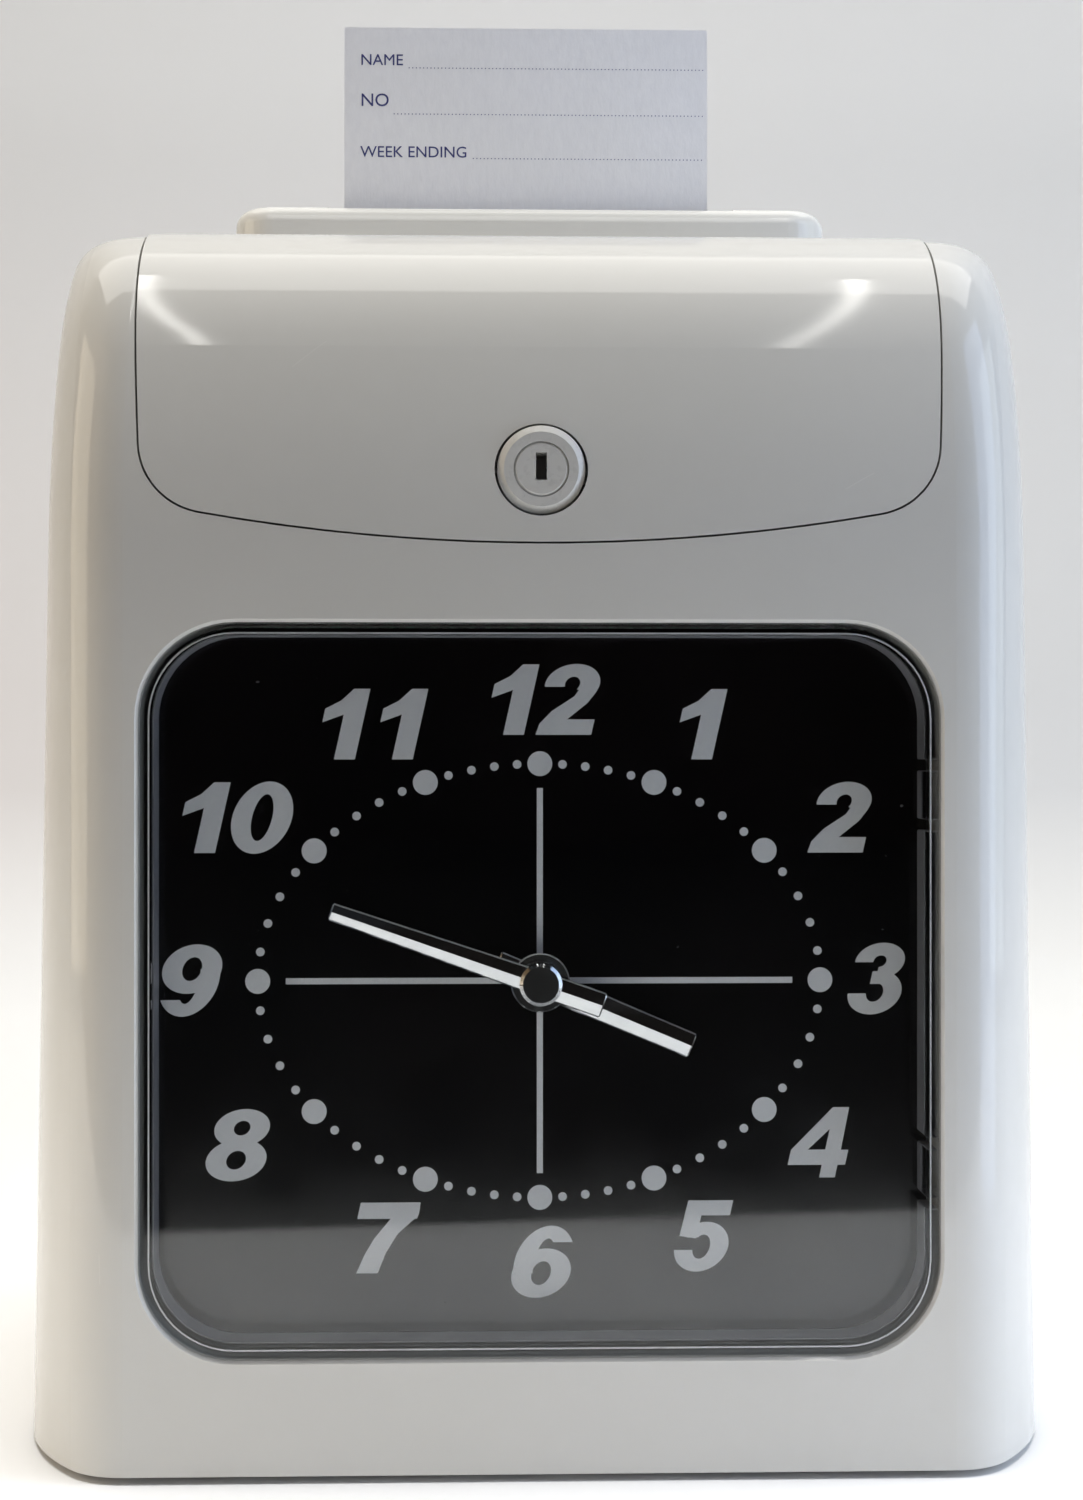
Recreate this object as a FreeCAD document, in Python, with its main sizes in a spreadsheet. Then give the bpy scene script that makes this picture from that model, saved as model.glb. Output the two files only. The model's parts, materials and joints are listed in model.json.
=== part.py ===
import FreeCAD, Part
import math
import os
import re
import Sketcher
from types import SimpleNamespace

# Punch time clock: a case in three shells round an analogue clock and a card printer.
# X is to the right of somebody who stands in front of it, Y goes back into it, Z is up.
# Depths are measured back from the flat front face and heights up from the table.

V = FreeCAD.Vector
doc = FreeCAD.newDocument("PunchTimeClock")
sheet = doc.addObject("Spreadsheet::Sheet", "Dims")

DRIVING = [
    ("depth", 134, "front face to rear face"),
    ("base_half", 104.2, "half width of the case at its base"),
    ("side_slope", 0.03, "how fast the half width shrinks with height"),
    ("side_bow", 5000, "bow radius term of the sides above the straight front"),
    ("flat_half", 80.1, "half width of the flat part of the front"),
    ("nose_radius", 14, "small radius where the front turns into the side"),
    ("nose_turn", 50, "degrees that the small radius turns"),
    ("rear_corner", 8, "radius of the rear vertical edges"),
    ("wall", 2.5, "moulded wall"),
    ("foot_high", 1.5, "feet under the case"),
    ("foot_round", 8, "radius of a foot"),
    ("straight_top", 181.5, "height where the front starts to lean back"),
    ("lean_radius", 110, "first arc of the leaning front"),
    ("lean_turn", 20, "degrees of the first arc"),
    ("brow_radius", 46.5, "arc over the brow"),
    ("brow_turn", 55, "degrees of the brow arc"),
    ("shoulder_high", 246.5, "flat top beside the lid"),
    ("shoulder_round", 11, "rounding of the top edges"),
    ("crown_half", 62, "half width of the flat crown"),
    ("crown_edge", 80.5, "half width where the crown meets the shoulders"),
    ("seam", 85, "depth of the joint between front and rear case"),
    ("lid_half_low", 77, "lid half width at its lower corners"),
    ("lid_half_high", 80.5, "lid half width at its upper end"),
    ("lid_low", 180.5, "lowest point of the lid edge"),
    ("lid_sweep", 380, "radius of the lower lid edge"),
    ("lid_corner", 14, "radius of the lower lid corners"),
    ("lid_gap", 0.4, "gap round the lid"),
    ("lid_rim", 10, "depth of the rim inside the lid"),
    ("hinge_deep", 79, "depth of the lid hinge axis"),
    ("barrel", 5.5, "radius of the rolled rear edge of the lid"),
    ("hinge_pin", 1.5, "radius of the hinge pins"),
    ("knuckle_at", 57, "distance of a hinge knuckle from the middle"),
    ("knuckle_wide", 5, "width of a hinge knuckle"),
    ("running", 0.05, "radial clearance of a running fit"),
    ("lock_high", 194.5, "height of the key lock"),
    ("lock_ring", 8.5, "radius of the lock escutcheon"),
    ("lock_core", 5.3, "radius of the turning core"),
    ("window_half", 77.2, "half width of the window opening"),
    ("window_low", 23.5, "lower edge of the window opening"),
    ("window_high", 165, "upper edge of the window opening"),
    ("window_corner", 18.5, "corner radius of the window"),
    ("glazing", 2.2, "thickness of the clear cover"),
    ("cover_wall", 1.9, "thickness of its side wall"),
    ("cover_bevel", 0.9, "bevel round the front of the cover"),
    ("window_bevel", 0.6, "bevel round the window opening"),
    ("clip_from_hub", 36.7, "height of the two cover clips above and below the clock axis"),
    ("clip_half", 4.6, "half length of a cover clip"),
    ("clip_slot", 2.5, "slot each side of a cover clip"),
    ("dial_deep", 12, "depth of the dial face"),
    ("dial_thick", 2.5, "thickness of the dial plate"),
    ("hub_high", 95, "height of the clock axis"),
    ("ring_wide", 55.5, "half width of the oval of hour dots"),
    ("ring_tall", 42.8, "half height of the oval of hour dots"),
    ("hour_dot", 2.45, "radius of an hour dot"),
    ("minute_dot", 0.85, "radius of a minute dot"),
    ("print_thick", 0.15, "thickness of the printed dial marks"),
    ("numeral_high", 13.9, "height of the numerals"),
    ("minute_turn", 289.2, "minute hand, degrees clockwise from twelve"),
    ("hour_turn", 112.8, "hour hand, degrees clockwise from twelve"),
    ("minute_long", 43.2, "minute hand length"),
    ("hour_long", 32.4, "hour hand length"),
    ("clock_module", 0.5, "gear module of the clock train"),
    ("hour_module", 0.48, "gear module of the hour wheel pair"),
    ("card_half", 42.5, "half width of the time card"),
    ("card_aside", 1, "how far left of the middle the card stands in its channel"),
    ("card_long", 187, "length of the time card"),
    ("card_top", 309.5, "height of the top of the card"),
    ("card_deep", 93, "depth of the card"),
    ("card_thick", 0.3, "thickness of the card"),
    ("collar_half", 69.6, "half width of the collar round the card slot"),
    ("collar_top", 266.5, "height of the collar"),
    ("collar_thick", 20, "front to back size of the collar"),
    ("collar_round", 4, "rounding of its top edge"),
    ("slot_half", 44, "half width of the card channel"),
    ("slot_wide", 3.4, "front to back size of the card channel"),
    ("mouth_wide", 10, "front to back size of the flared slot mouth"),
    ("chassis_half", 71.5, "outside half width of the chassis"),
    ("sheet_metal", 1.5, "chassis plate thickness"),
    ("chassis_front", 62, "depth of the front edge of the chassis"),
    ("chassis_back", 126, "depth of the rear edge of the chassis"),
    ("chassis_low", 62, "lowest height of the chassis"),
    ("chassis_top", 238, "top of the chassis plates"),
    ("feed_high", 170, "height of the feed rollers"),
    ("feed_round", 7, "radius of the feed rollers"),
    ("pinch_round", 5, "radius of the pinch rollers"),
    ("feed_shaft", 2.5, "radius of the feed shaft"),
    ("feed_module", 0.8, "gear module of the card feed"),
    ("rail_deep", 70, "depth of the print carriage rail and screw"),
    ("rail_high", 204, "height of the carriage rail"),
    ("rail_round", 3, "radius of the carriage rail"),
    ("screw_high", 220, "height of the lead screw"),
    ("screw_round", 2.5, "radius of the lead screw"),
    ("ribbon_low", 229, "underside of the ribbon cassette"),
    ("ribbon_high", 240, "top of the ribbon cassette"),
    ("panel_high", 187, "top of the setting panel"),
    ("button_round", 4, "radius of a setting button"),
    ("board_deep", 50, "depth of the main board"),
    ("screw_hole", 2.6, "radius of a wall screw hole"),
    ("wall_screw_at", 60, "distance of a wall screw hole from the middle"),
    ("wall_screw_high", 150, "height of the wall screw holes"),
]

for line, (alias, value, meaning) in enumerate(DRIVING, start=1):
    sheet.set(f"A{line}", meaning)
    sheet.set(f"B{line}", str(value))
    sheet.setAlias(f"B{line}", alias)
doc.recompute()
ALIASES = {alias for alias, value, meaning in DRIVING}
D = SimpleNamespace(**{alias: float(sheet.get(alias)) for alias in ALIASES})
D.front = -D.depth / 2
NODES = []


def sheet_names(text):
    """Write the aliases in an expression as cells of the sheet."""
    def in_sheet(word):
        name = word.group(0)
        return "Dims." + name if name in ALIASES else name

    return re.sub(r"[a-z_]+", in_sheet, str(text))


def number(text):
    """The value of an expression in the sheet's names."""
    value = sheet.evalExpression(str(text))
    return float(getattr(value, "Value", value))


def bind(thing, prop, text):
    thing.setExpression(prop, sheet_names(text))


def node(thing, name):
    """Give a finished sub-part its own name and keep it for the file list."""
    thing.Label = name
    NODES.append(thing)
    return thing


def turn(axis):
    """The rotation that lays a Z cylinder along an axis."""
    if axis == "X":
        return FreeCAD.Rotation(V(0, 1, 0), 90)
    if axis == "Y":
        return FreeCAD.Rotation(V(1, 0, 0), -90)
    return FreeCAD.Rotation()


def place(thing, x, y, z, rotation=FreeCAD.Rotation()):
    """Put a sub-part at x, at depth y behind the front face and at height z."""
    thing.Placement = FreeCAD.Placement(V(number(x), number(y) - D.depth / 2, number(z)), rotation)
    bind(thing, "Placement.Base.x", x)
    bind(thing, "Placement.Base.y", f"({y})-depth/2")
    bind(thing, "Placement.Base.z", z)
    return thing


def box(name, x, y, z):
    """A box between two bounds along each axis."""
    thing = doc.addObject("Part::Box", name)
    for prop, (low, high) in zip(("Length", "Width", "Height"), (x, y, z)):
        bind(thing, prop, f"({high})-({low})")
    return place(thing, x[0], y[0], z[0])


def rod(name, axis, radius, at, long):
    """A cylinder along an axis, from its low end."""
    thing = doc.addObject("Part::Cylinder", name)
    bind(thing, "Radius", radius)
    bind(thing, "Height", long)
    return place(thing, *at, turn(axis))


def cone(name, axis, radius, end_radius, at, long):
    thing = doc.addObject("Part::Cone", name)
    bind(thing, "Radius1", radius)
    bind(thing, "Radius2", end_radius)
    bind(thing, "Height", long)
    return place(thing, *at, turn(axis))


def fuse(name, *things):
    thing = doc.addObject("Part::MultiFuse", name)
    thing.Shapes = list(things)
    return thing


def group(name, *things):
    """Identical fasteners and the like: separate solids in one node."""
    thing = doc.addObject("Part::Compound", name)
    thing.Links = list(things)
    return thing


def cut(name, base, *tools):
    thing = doc.addObject("Part::Cut", name)
    thing.Base = base
    thing.Tool = tools[0] if len(tools) == 1 else group(name + "_tools", *tools)
    return thing


def feature(name, shape):
    """A sub-part with a freely worked shape, in place."""
    thing = doc.addObject("Part::Feature", name)
    thing.Shape = shape
    thing.Placement = shape.Placement
    return thing


def plate(name, plane, outline, start, end, holes=(), rounding=None):
    """A flat piece: a sketch of straight lines and round holes, padded from start to end.

    XY outlines are (x, depth), XZ outlines (x, height) and YZ outlines (depth, height)."""
    body = doc.addObject("PartDesign::Body", name)
    sketch = body.newObject("Sketcher::SketchObject", name + "_sketch")
    origin = [part for part in body.Origin.OriginFeatures if part.Role == plane + "_Plane"][0]
    sketch.AttachmentSupport = [(origin, "")]
    sketch.MapMode = "FlatFace"
    across, up = {"XY": ("{}", "({})-depth/2"), "XZ": ("{}", "{}"), "YZ": ("({})-depth/2", "{}")}[plane]
    low = {"XY": start, "XZ": f"depth/2-({end})", "YZ": start}[plane]
    bind(sketch, "AttachmentOffset.Base.z", low)

    def pin(geometry, place_on, point):
        for kind, form, text in (("DistanceX", across, point[0]), ("DistanceY", up, point[1])):
            value = form.format(text)
            pin = Sketcher.Constraint(kind, -1, 1, geometry, place_on, number(value))
            index = sketch.addConstraint(pin)
            bind(sketch, f"Constraints[{index}]", value)

    corners = [V(number(across.format(a)), number(up.format(b)), 0) for a, b in outline]
    for index, corner in enumerate(corners):
        sketch.addGeometry(Part.LineSegment(corner, corners[(index + 1) % len(corners)]), False)
    for index in range(len(corners)):
        sketch.addConstraint(Sketcher.Constraint("Coincident", index, 2, (index + 1) % len(corners), 1))
        pin(index, 1, outline[index])
    for a, b, radius in holes:
        centre = V(number(across.format(a)), number(up.format(b)), 0)
        circle = sketch.addGeometry(Part.Circle(centre, V(0, 0, 1), number(radius)), False)
        pin(circle, 3, (a, b))
        index = sketch.addConstraint(Sketcher.Constraint("Radius", circle, number(radius)))
        bind(sketch, f"Constraints[{index}]", radius)
    pad = body.newObject("PartDesign::Pad", name + "_pad")
    pad.Profile = sketch
    bind(pad, "Length", f"({end})-({start})")
    if rounding:
        doc.recompute()
        normal = {"XY": V(0, 0, 1), "XZ": V(0, 1, 0), "YZ": V(1, 0, 0)}[plane]
        edges = [
            f"Edge{index}"
            for index, edge in enumerate(pad.Shape.Edges, start=1)
            if isinstance(edge.Curve, Part.Line) and edge.Curve.Direction.cross(normal).Length < 1e-6
        ]
        fillet = body.newObject("PartDesign::Fillet", name + "_corners")
        fillet.Base = (pad, edges)
        bind(fillet, "Radius", rounding)
    return body


def rectangle(x, y):
    return [(x[0], y[0]), (x[1], y[0]), (x[1], y[1]), (x[0], y[1])]


# ---------------------------------------------------------------- case surfaces

NOSE = math.radians(D.nose_turn)
LEAN = (
    (D.lean_radius, D.lean_turn),
    (D.brow_radius, D.brow_turn),
    (D.lean_radius, 90 - D.lean_turn - D.brow_turn),
)


def sin(degrees):
    return math.sin(math.radians(degrees))


def cos(degrees):
    return math.cos(math.radians(degrees))


def arc(start, middle, end):
    return Part.Arc(start, middle, end).toShape()


def line(start, end):
    return Part.LineSegment(start, end).toShape()


def crown_high(inset=0.0):
    """Height of the flat crown, where the leaning front ends."""
    turned = 0.0
    high = D.straight_top
    for radius, angle in LEAN:
        high += (radius - inset) * (sin(turned + angle) - sin(turned))
        turned += angle
    return high


def front_deep(high, inset):
    """Depth of the front surface at a height."""
    turned = 0.0
    deep = inset
    level = D.straight_top
    if high <= level:
        return deep
    for radius, angle in LEAN:
        bend = radius - inset
        rise = bend * (sin(turned + angle) - sin(turned))
        if high <= level + rise:
            leaning = sin(turned) + (high - level) / bend
            return deep + bend * (cos(turned) - math.sqrt(1 - leaning * leaning))
        level += rise
        deep += bend * (cos(turned) - cos(turned + angle))
        turned += angle
    return deep


def half_width(high, inset):
    above = max(high - D.straight_top, 0)
    return D.base_half - D.side_slope * high - above * above / D.side_bow - inset


def case_outline(high, inset):
    """Plan outline of the case: flat front, two arcs each side, straight sides and rounded rear edges."""
    small = D.nose_radius - inset
    half = half_width(high, inset)
    large = (half - D.flat_half - small * math.sin(NOSE)) / (1 - math.sin(NOSE))
    front = D.front + front_deep(high, inset)
    rear = D.depth / 2 - inset
    corner = D.rear_corner - inset
    rest = math.pi / 2 - NOSE
    large_deep = front + small * (1 - math.cos(NOSE)) + large * math.sin(rest)

    def small_point(angle):
        return V(D.flat_half + small * math.sin(angle), front + small * (1 - math.cos(angle)), high)

    def large_point(angle):
        return V(half - large * (1 - math.cos(angle)), large_deep - large * math.sin(angle), high)

    diagonal = corner * math.sqrt(0.5)
    corner_middle = V(half - corner + diagonal, rear - corner + diagonal, high)
    corner_start = V(half, rear - corner, high)
    corner_end = V(half - corner, rear, high)

    def left(point):
        return V(-point.x, point.y, point.z)

    right_side = [
        (small_point(0), small_point(NOSE / 2), small_point(NOSE)),
        (small_point(NOSE), large_point(rest / 2), large_point(0)),
        (large_point(0), None, corner_start),
        (corner_start, corner_middle, corner_end),
    ]
    edges = [arc(a, b, c) if b else line(a, c) for a, b, c in right_side]
    edges.append(line(corner_end, left(corner_end)))
    for a, b, c in reversed(right_side):
        edges.append(arc(left(c), left(b), left(a)) if b else line(left(c), left(a)))
    edges.append(line(left(small_point(0)), small_point(0)))
    return Part.Wire(edges)


def case_solid(inset):
    """The case as a full solid, its top edges rounded; inset gives the space inside the walls."""
    steps = 12
    low = D.foot_high + inset
    high = D.shoulder_high - inset
    lower = Part.makeLoft([case_outline(low, inset), case_outline(D.straight_top, inset)], True, True)
    heights = [D.straight_top + (high - D.straight_top) * step / steps for step in range(steps + 1)]
    upper = Part.makeLoft([case_outline(level, inset) for level in heights], True, False)
    upper = upper.makeFillet(
        D.shoulder_round - inset,
        [edge for edge in upper.Edges if edge.BoundBox.ZMin > high - 0.01],
    )
    return lower.fuse(upper)


def block(x, y, z):
    """A plain block, y as depths."""
    return Part.makeBox(x[1] - x[0], y[1] - y[0], z[1] - z[0], V(x[0], D.front + y[0], z[0]))


def drum(axis, radius, at, long):
    """A cylinder, y as a depth."""
    return Part.makeCylinder(radius, long, V(at[0], D.front + at[1], at[2]), axis)


ALONG_X = V(1, 0, 0)
ALONG_Y = V(0, 1, 0)


def crown_prism(inset, deep):
    """Everything under the crown line: flat in the middle, falling towards the shoulders."""
    top = crown_high() - inset
    fall = crown_high() - D.shoulder_high - 0.5
    reach = D.crown_edge + 10
    slope = fall / (D.crown_edge - D.crown_half)
    end = top - slope * (reach - D.crown_half)
    half = D.crown_half
    corners = [(-reach, 100), (reach, 100), (reach, end), (half, top), (-half, top), (-reach, end)]
    points = [V(x, D.front + deep[0], z) for x, z in corners]
    face = Part.Face(Part.makePolygon(points + points[:1]))
    prism = face.extrude(V(0, deep[1] - deep[0], 0))
    deep_edges = [edge for edge in prism.Edges if edge.BoundBox.YLength > 1 and edge.BoundBox.XLength < 0.01]
    ridges = [edge for edge in deep_edges if abs(edge.BoundBox.ZMax - top) < 0.01]
    return prism.makeFillet(25, ridges)


def lean_prism(inset, back):
    """Everything behind the leaning front, as deep as back."""
    half = D.base_half
    low = D.straight_top - 40
    edges = [line(V(-half, D.front + back, low), V(-half, D.front + inset, low))]
    edges.append(line(edges[-1].Vertexes[1].Point, V(-half, D.front + inset, D.straight_top)))
    turned = 0.0
    level = D.straight_top
    deep = D.front + inset
    for radius, angle in LEAN:
        bend = radius - inset

        def spot(part):
            return V(
                -half,
                deep + bend * (cos(turned) - cos(turned + part)),
                level + bend * (sin(turned + part) - sin(turned)),
            )

        edges.append(arc(spot(0), spot(angle / 2), spot(angle)))
        end = spot(angle)
        turned += angle
        level = end.z
        deep = end.y
    edges.append(line(V(-half, deep, level), V(-half, D.front + back, level)))
    edges.append(line(edges[-1].Vertexes[1].Point, edges[0].Vertexes[0].Point))
    return Part.Face(Part.Wire(edges)).extrude(V(2 * half, 0, 0))


def lid_prism(grow, deep):
    """The outline of the lid from the front, grown or shrunk, as a block between two depths."""
    low = D.lid_low + 16
    high = 275.0
    spread = (D.lid_half_high - D.lid_half_low) / (crown_high() - low)
    sweep = D.lid_sweep + grow
    centre_high = D.lid_low + D.lid_sweep

    def side(level):
        return D.lid_half_low + grow + spread * (level - low)

    reach = side(D.lid_low)
    for attempt in range(8):
        meet_high = centre_high - math.sqrt(sweep * sweep - reach * reach)
        reach = side(meet_high)
    y = D.front + deep[0]
    right = V(reach, y, meet_high)
    left = V(-reach, y, meet_high)
    top_right = V(side(high), y, high)
    top_left = V(-side(high), y, high)
    wire = Part.Wire([
        arc(left, V(0, y, centre_high - sweep), right),
        line(right, top_right),
        line(top_right, top_left),
        line(top_left, left),
    ])
    prism = Part.Face(wire).extrude(V(0, deep[1] - deep[0], 0))
    deep_edges = [edge for edge in prism.Edges if edge.BoundBox.YLength > 1 and edge.BoundBox.XLength < 0.01]
    corners = [edge for edge in deep_edges if edge.BoundBox.ZMax < meet_high + 1]
    return prism.makeFillet(D.lid_corner + grow, corners)


def window_prism(grow, deep):
    """The rounded rectangle of the window, grown or shrunk, between two depths."""
    half = D.window_half + grow
    solid = block((-half, half), deep, (D.window_low - grow, D.window_high + grow))
    edges = [edge for edge in solid.Edges if edge.BoundBox.YLength > deep[1] - deep[0] - 0.01
             and edge.BoundBox.XLength < 0.01 and edge.BoundBox.ZLength < 0.01]
    return solid.makeFillet(D.window_corner + grow, edges)


def bevel_cutter():
    """What the bevel round the window opening takes away."""
    size = D.window_bevel
    cutter = window_prism(size, (-1, size))
    inner_edges = [edge for edge in cutter.Edges if edge.BoundBox.YMin > D.front + size - 0.01]
    return cutter.makeChamfer(size - 0.01, inner_edges)


HINGE_HIGH = crown_high() - D.barrel
OUTSIDE = case_solid(0)
INSIDE = case_solid(D.wall)
LEFT_RIGHT = (-1, 1)
REAR_SCREWS = [(x, z) for x in (-88, 88) for z in (24, 222)]


# ---------------------------------------------------------------- case shells

def front_case():
    """Front shell with the window opening, its rim and the tub that the lid closes."""
    end = D.seam - 0.2
    shell = OUTSIDE.cut(INSIDE).common(block((-120, 120), (-1, end), (0, 260)))
    shell = shell.cut(lid_prism(D.lid_gap, (-2, D.depth)))
    tub = lid_prism(D.lid_gap + 2, (0, end)).cut(lid_prism(D.lid_gap, (-2, D.depth))).common(INSIDE)
    tub = tub.cut(block((-62, 62), (28, D.depth), (150, 200)))
    tub = tub.cut(block((-D.chassis_half - 1.5, D.chassis_half + 1.5), (48, D.depth), (150, 200)))
    tub = tub.common(block((-120, 120), (0, end), (170, 260)))
    rim = window_prism(1.6, (D.wall, D.dial_deep + 1.5)).cut(window_prism(0, (0, D.depth)))
    shell = shell.fuse([tub, rim]).cut(window_prism(0, (-1, D.dial_deep + 1.5)))
    shell = shell.cut(bevel_cutter())
    keeper_slot = block((-6, 16), (21.4, 24.8), (170, 184))
    shell = shell.cut(keeper_slot)
    for x, z in REAR_SCREWS:
        post = drum(ALONG_Y, 5, (x, D.seam - 35, z), end - D.seam + 35)
        reach = sorted((x, 1.3 * x))
        rib = block(reach, (D.seam - 35, end), (z - 1, z + 1)).common(OUTSIDE)
        shell = shell.fuse([post, rib]).cut(drum(ALONG_Y, 1.6, (x, D.seam - 30, z), 40))
    return shell.removeSplitter()


def vent_slots():
    """Three rows of cooling slots in the rear wall."""
    slots = []
    for row in range(3):
        for column in range(9):
            x = (column - 4) * 11
            z = 190 + row * 13
            slots.append(block((x - 1.5, x + 1.5), (D.depth - 10, D.depth + 1), (z, z + 9)))
    return slots


def rear_case():
    """Rear shell: crown behind the lid, slot for the collar, vents, screw bosses and the inlet opening."""
    start = D.seam + 0.2
    shell = OUTSIDE.cut(INSIDE).common(block((-120, 120), (start, D.depth + 1), (0, 260)))
    crown = crown_prism(0, (start, D.depth - 6)).common(block((-120, 120), (start, D.depth), (244.5, 260)))
    crown = crown.common(block((-D.crown_edge - 1.8, D.crown_edge + 1.8), (start, D.depth), (0, 260)))
    back_from = D.depth / 2 - 6.01
    high_edges = [edge for edge in crown.Edges if edge.BoundBox.ZMin > 246 and edge.BoundBox.ZLength < 0.01]
    crown = crown.makeFillet(2.5, [edge for edge in high_edges if edge.BoundBox.YMin > back_from])
    hollow = crown_prism(D.wall, (start - 1, D.depth - 9))
    hollow = hollow.common(block((-78, 78), (0, D.depth), (240, 260)))
    tabs = []
    for x in (-82, 82):
        low = D.foot_high + D.wall
        tabs.append(block((x - 10, x + 10), (D.seam - 4, D.seam + 8), (low + 0.2, low + 2.2)))
        tabs.append(block((x - 10, x + 10), (start + 0.2, D.seam + 8), (low - 1, low + 1)))
    for side in LEFT_RIGHT:
        for high in (60, 130):
            inner = half_width(high + 10, D.wall)
            lip = sorted((side * (inner - 2.2), side * (inner - 0.2)))
            root = sorted((side * (inner - 1), side * (inner + 1)))
            tabs.append(block(lip, (D.seam - 4, D.seam + 8), (high - 10, high + 10)))
            tabs.append(block(root, (start + 0.2, D.seam + 8), (high - 10, high + 10)))
    bosses = []
    for x, z in REAR_SCREWS:
        bosses.append(drum(ALONG_Y, 5, (x, start, z), D.depth - start - 1))
    for x in (-70, 70):
        for z in (90, 214):
            bosses.append(drum(ALONG_Y, 4, (x, D.chassis_back, z), D.depth - D.chassis_back - 1))
    solid = shell.fuse([crown] + bosses + tabs)
    holes = [hollow, block((-47.2, 47.2), (88.2, 97.8), (236, 262))] + vent_slots()
    for x, z in REAR_SCREWS:
        holes.append(drum(ALONG_Y, 1.9, (x, D.seam - 6, z), D.depth))
        holes.append(drum(ALONG_Y, 4.1, (x, D.depth - 4, z), 5))
    for x in (-D.wall_screw_at, D.wall_screw_at):
        holes.append(drum(ALONG_Y, D.screw_hole, (x, D.depth - 4, D.wall_screw_high), 5))
    holes.append(block((58.4, 81.6), (D.depth - 4, D.depth + 1), (15.4, 26.6)))
    holes.append(block((-30, 30), (D.depth - 0.5, D.depth + 1), (70, 104)))
    for hole in holes:
        solid = solid.cut(hole)
    return solid.removeSplitter()


node(feature("front_shell", front_case()), "front_case")
node(feature("rear_shell", rear_case()), "rear_case")


def collar_outline(high, shrink):
    """A bar with round ends, seen from above."""
    deep = D.front + D.seam + 0.3 + D.collar_thick / 2
    radius = D.collar_thick / 2 - shrink
    half = D.collar_half - D.collar_thick / 2
    a = V(-half, deep - radius, high)
    b = V(half, deep - radius, high)
    c = V(half, deep + radius, high)
    d = V(-half, deep + radius, high)
    return Part.Wire([line(a, b), arc(b, V(half + radius, deep, high), c), line(c, d),
                      arc(d, V(-half - radius, deep, high), a)])


def slot_collar():
    """Raised collar round the card slot, its flared mouth and the chute down to the card channel."""
    ridge = Part.makeLoft([collar_outline(246, 0), collar_outline(D.collar_top, 0.9)], True, True)
    top_edges = [edge for edge in ridge.Edges if edge.BoundBox.ZMin > D.collar_top - 0.01]
    ridge = ridge.makeFillet(D.collar_round, top_edges)
    under = crown_prism(0, (D.seam - 2, D.depth)).fuse(OUTSIDE)
    ridge = ridge.cut(under)
    deep = D.card_deep
    slot = D.slot_wide / 2
    chute = block((-46.6, 46.6), (deep - 4, deep + 4), (241, 256))
    mouth_low = 256.5
    channel = block((-D.slot_half, D.slot_half), (deep - slot, deep + slot), (230, 280))
    mouth = block((-47, 47), (deep - D.mouth_wide / 2, deep + D.mouth_wide / 2), (mouth_low, 280))

    def opening(half, thick, high):
        corners = [(-half, -thick), (half, -thick), (half, thick), (-half, thick)]
        points = [V(x, D.front + deep + y, high) for x, y in corners]
        return Part.makePolygon(points + points[:1])

    funnel = Part.makeLoft([
        opening(D.slot_half, slot, mouth_low - 4),
        opening(47, D.mouth_wide / 2, mouth_low),
    ], True, True)
    return ridge.fuse(chute).cut(channel).cut(mouth).cut(funnel).removeSplitter()


node(feature("collar_ring", slot_collar()), "slot_collar")


def clear_cover():
    """Clear tray that closes the window: a bevelled pane, and a side wall with two clips."""
    tray = window_prism(-0.3, (0, D.dial_deep))
    edges = [edge for edge in tray.Edges if edge.BoundBox.YMax < D.front + 0.01]
    tray = tray.makeChamfer(D.cover_bevel, edges)
    tray = tray.cut(window_prism(-0.3 - D.cover_wall, (D.glazing, D.depth)))
    slot_deep = (D.glazing, D.depth)
    slot_wide = (D.window_half - D.cover_wall - 1, D.window_half)
    for side in LEFT_RIGHT:
        middle = D.hub_high + side * D.clip_from_hub
        for end in LEFT_RIGHT:
            near = middle + end * D.clip_half
            far = middle + end * (D.clip_half + D.clip_slot)
            tray = tray.cut(block(slot_wide, slot_deep, (min(near, far), max(near, far))))
    return tray


node(feature("clear_tray", clear_cover()), "window_cover")


# ---------------------------------------------------------------- lid

def lid_block(inset):
    """The lid as a full block: leaning front, crown and rolled rear edge."""
    rolled = drum(ALONG_X, D.barrel - inset, (-100, D.hinge_deep, HINGE_HIGH), 200)
    solid = lean_prism(inset, D.hinge_deep).fuse(rolled)
    solid = solid.common(lid_prism(-inset, (-2, D.depth)))
    return solid.common(crown_prism(inset, (-2, D.depth)))


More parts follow.
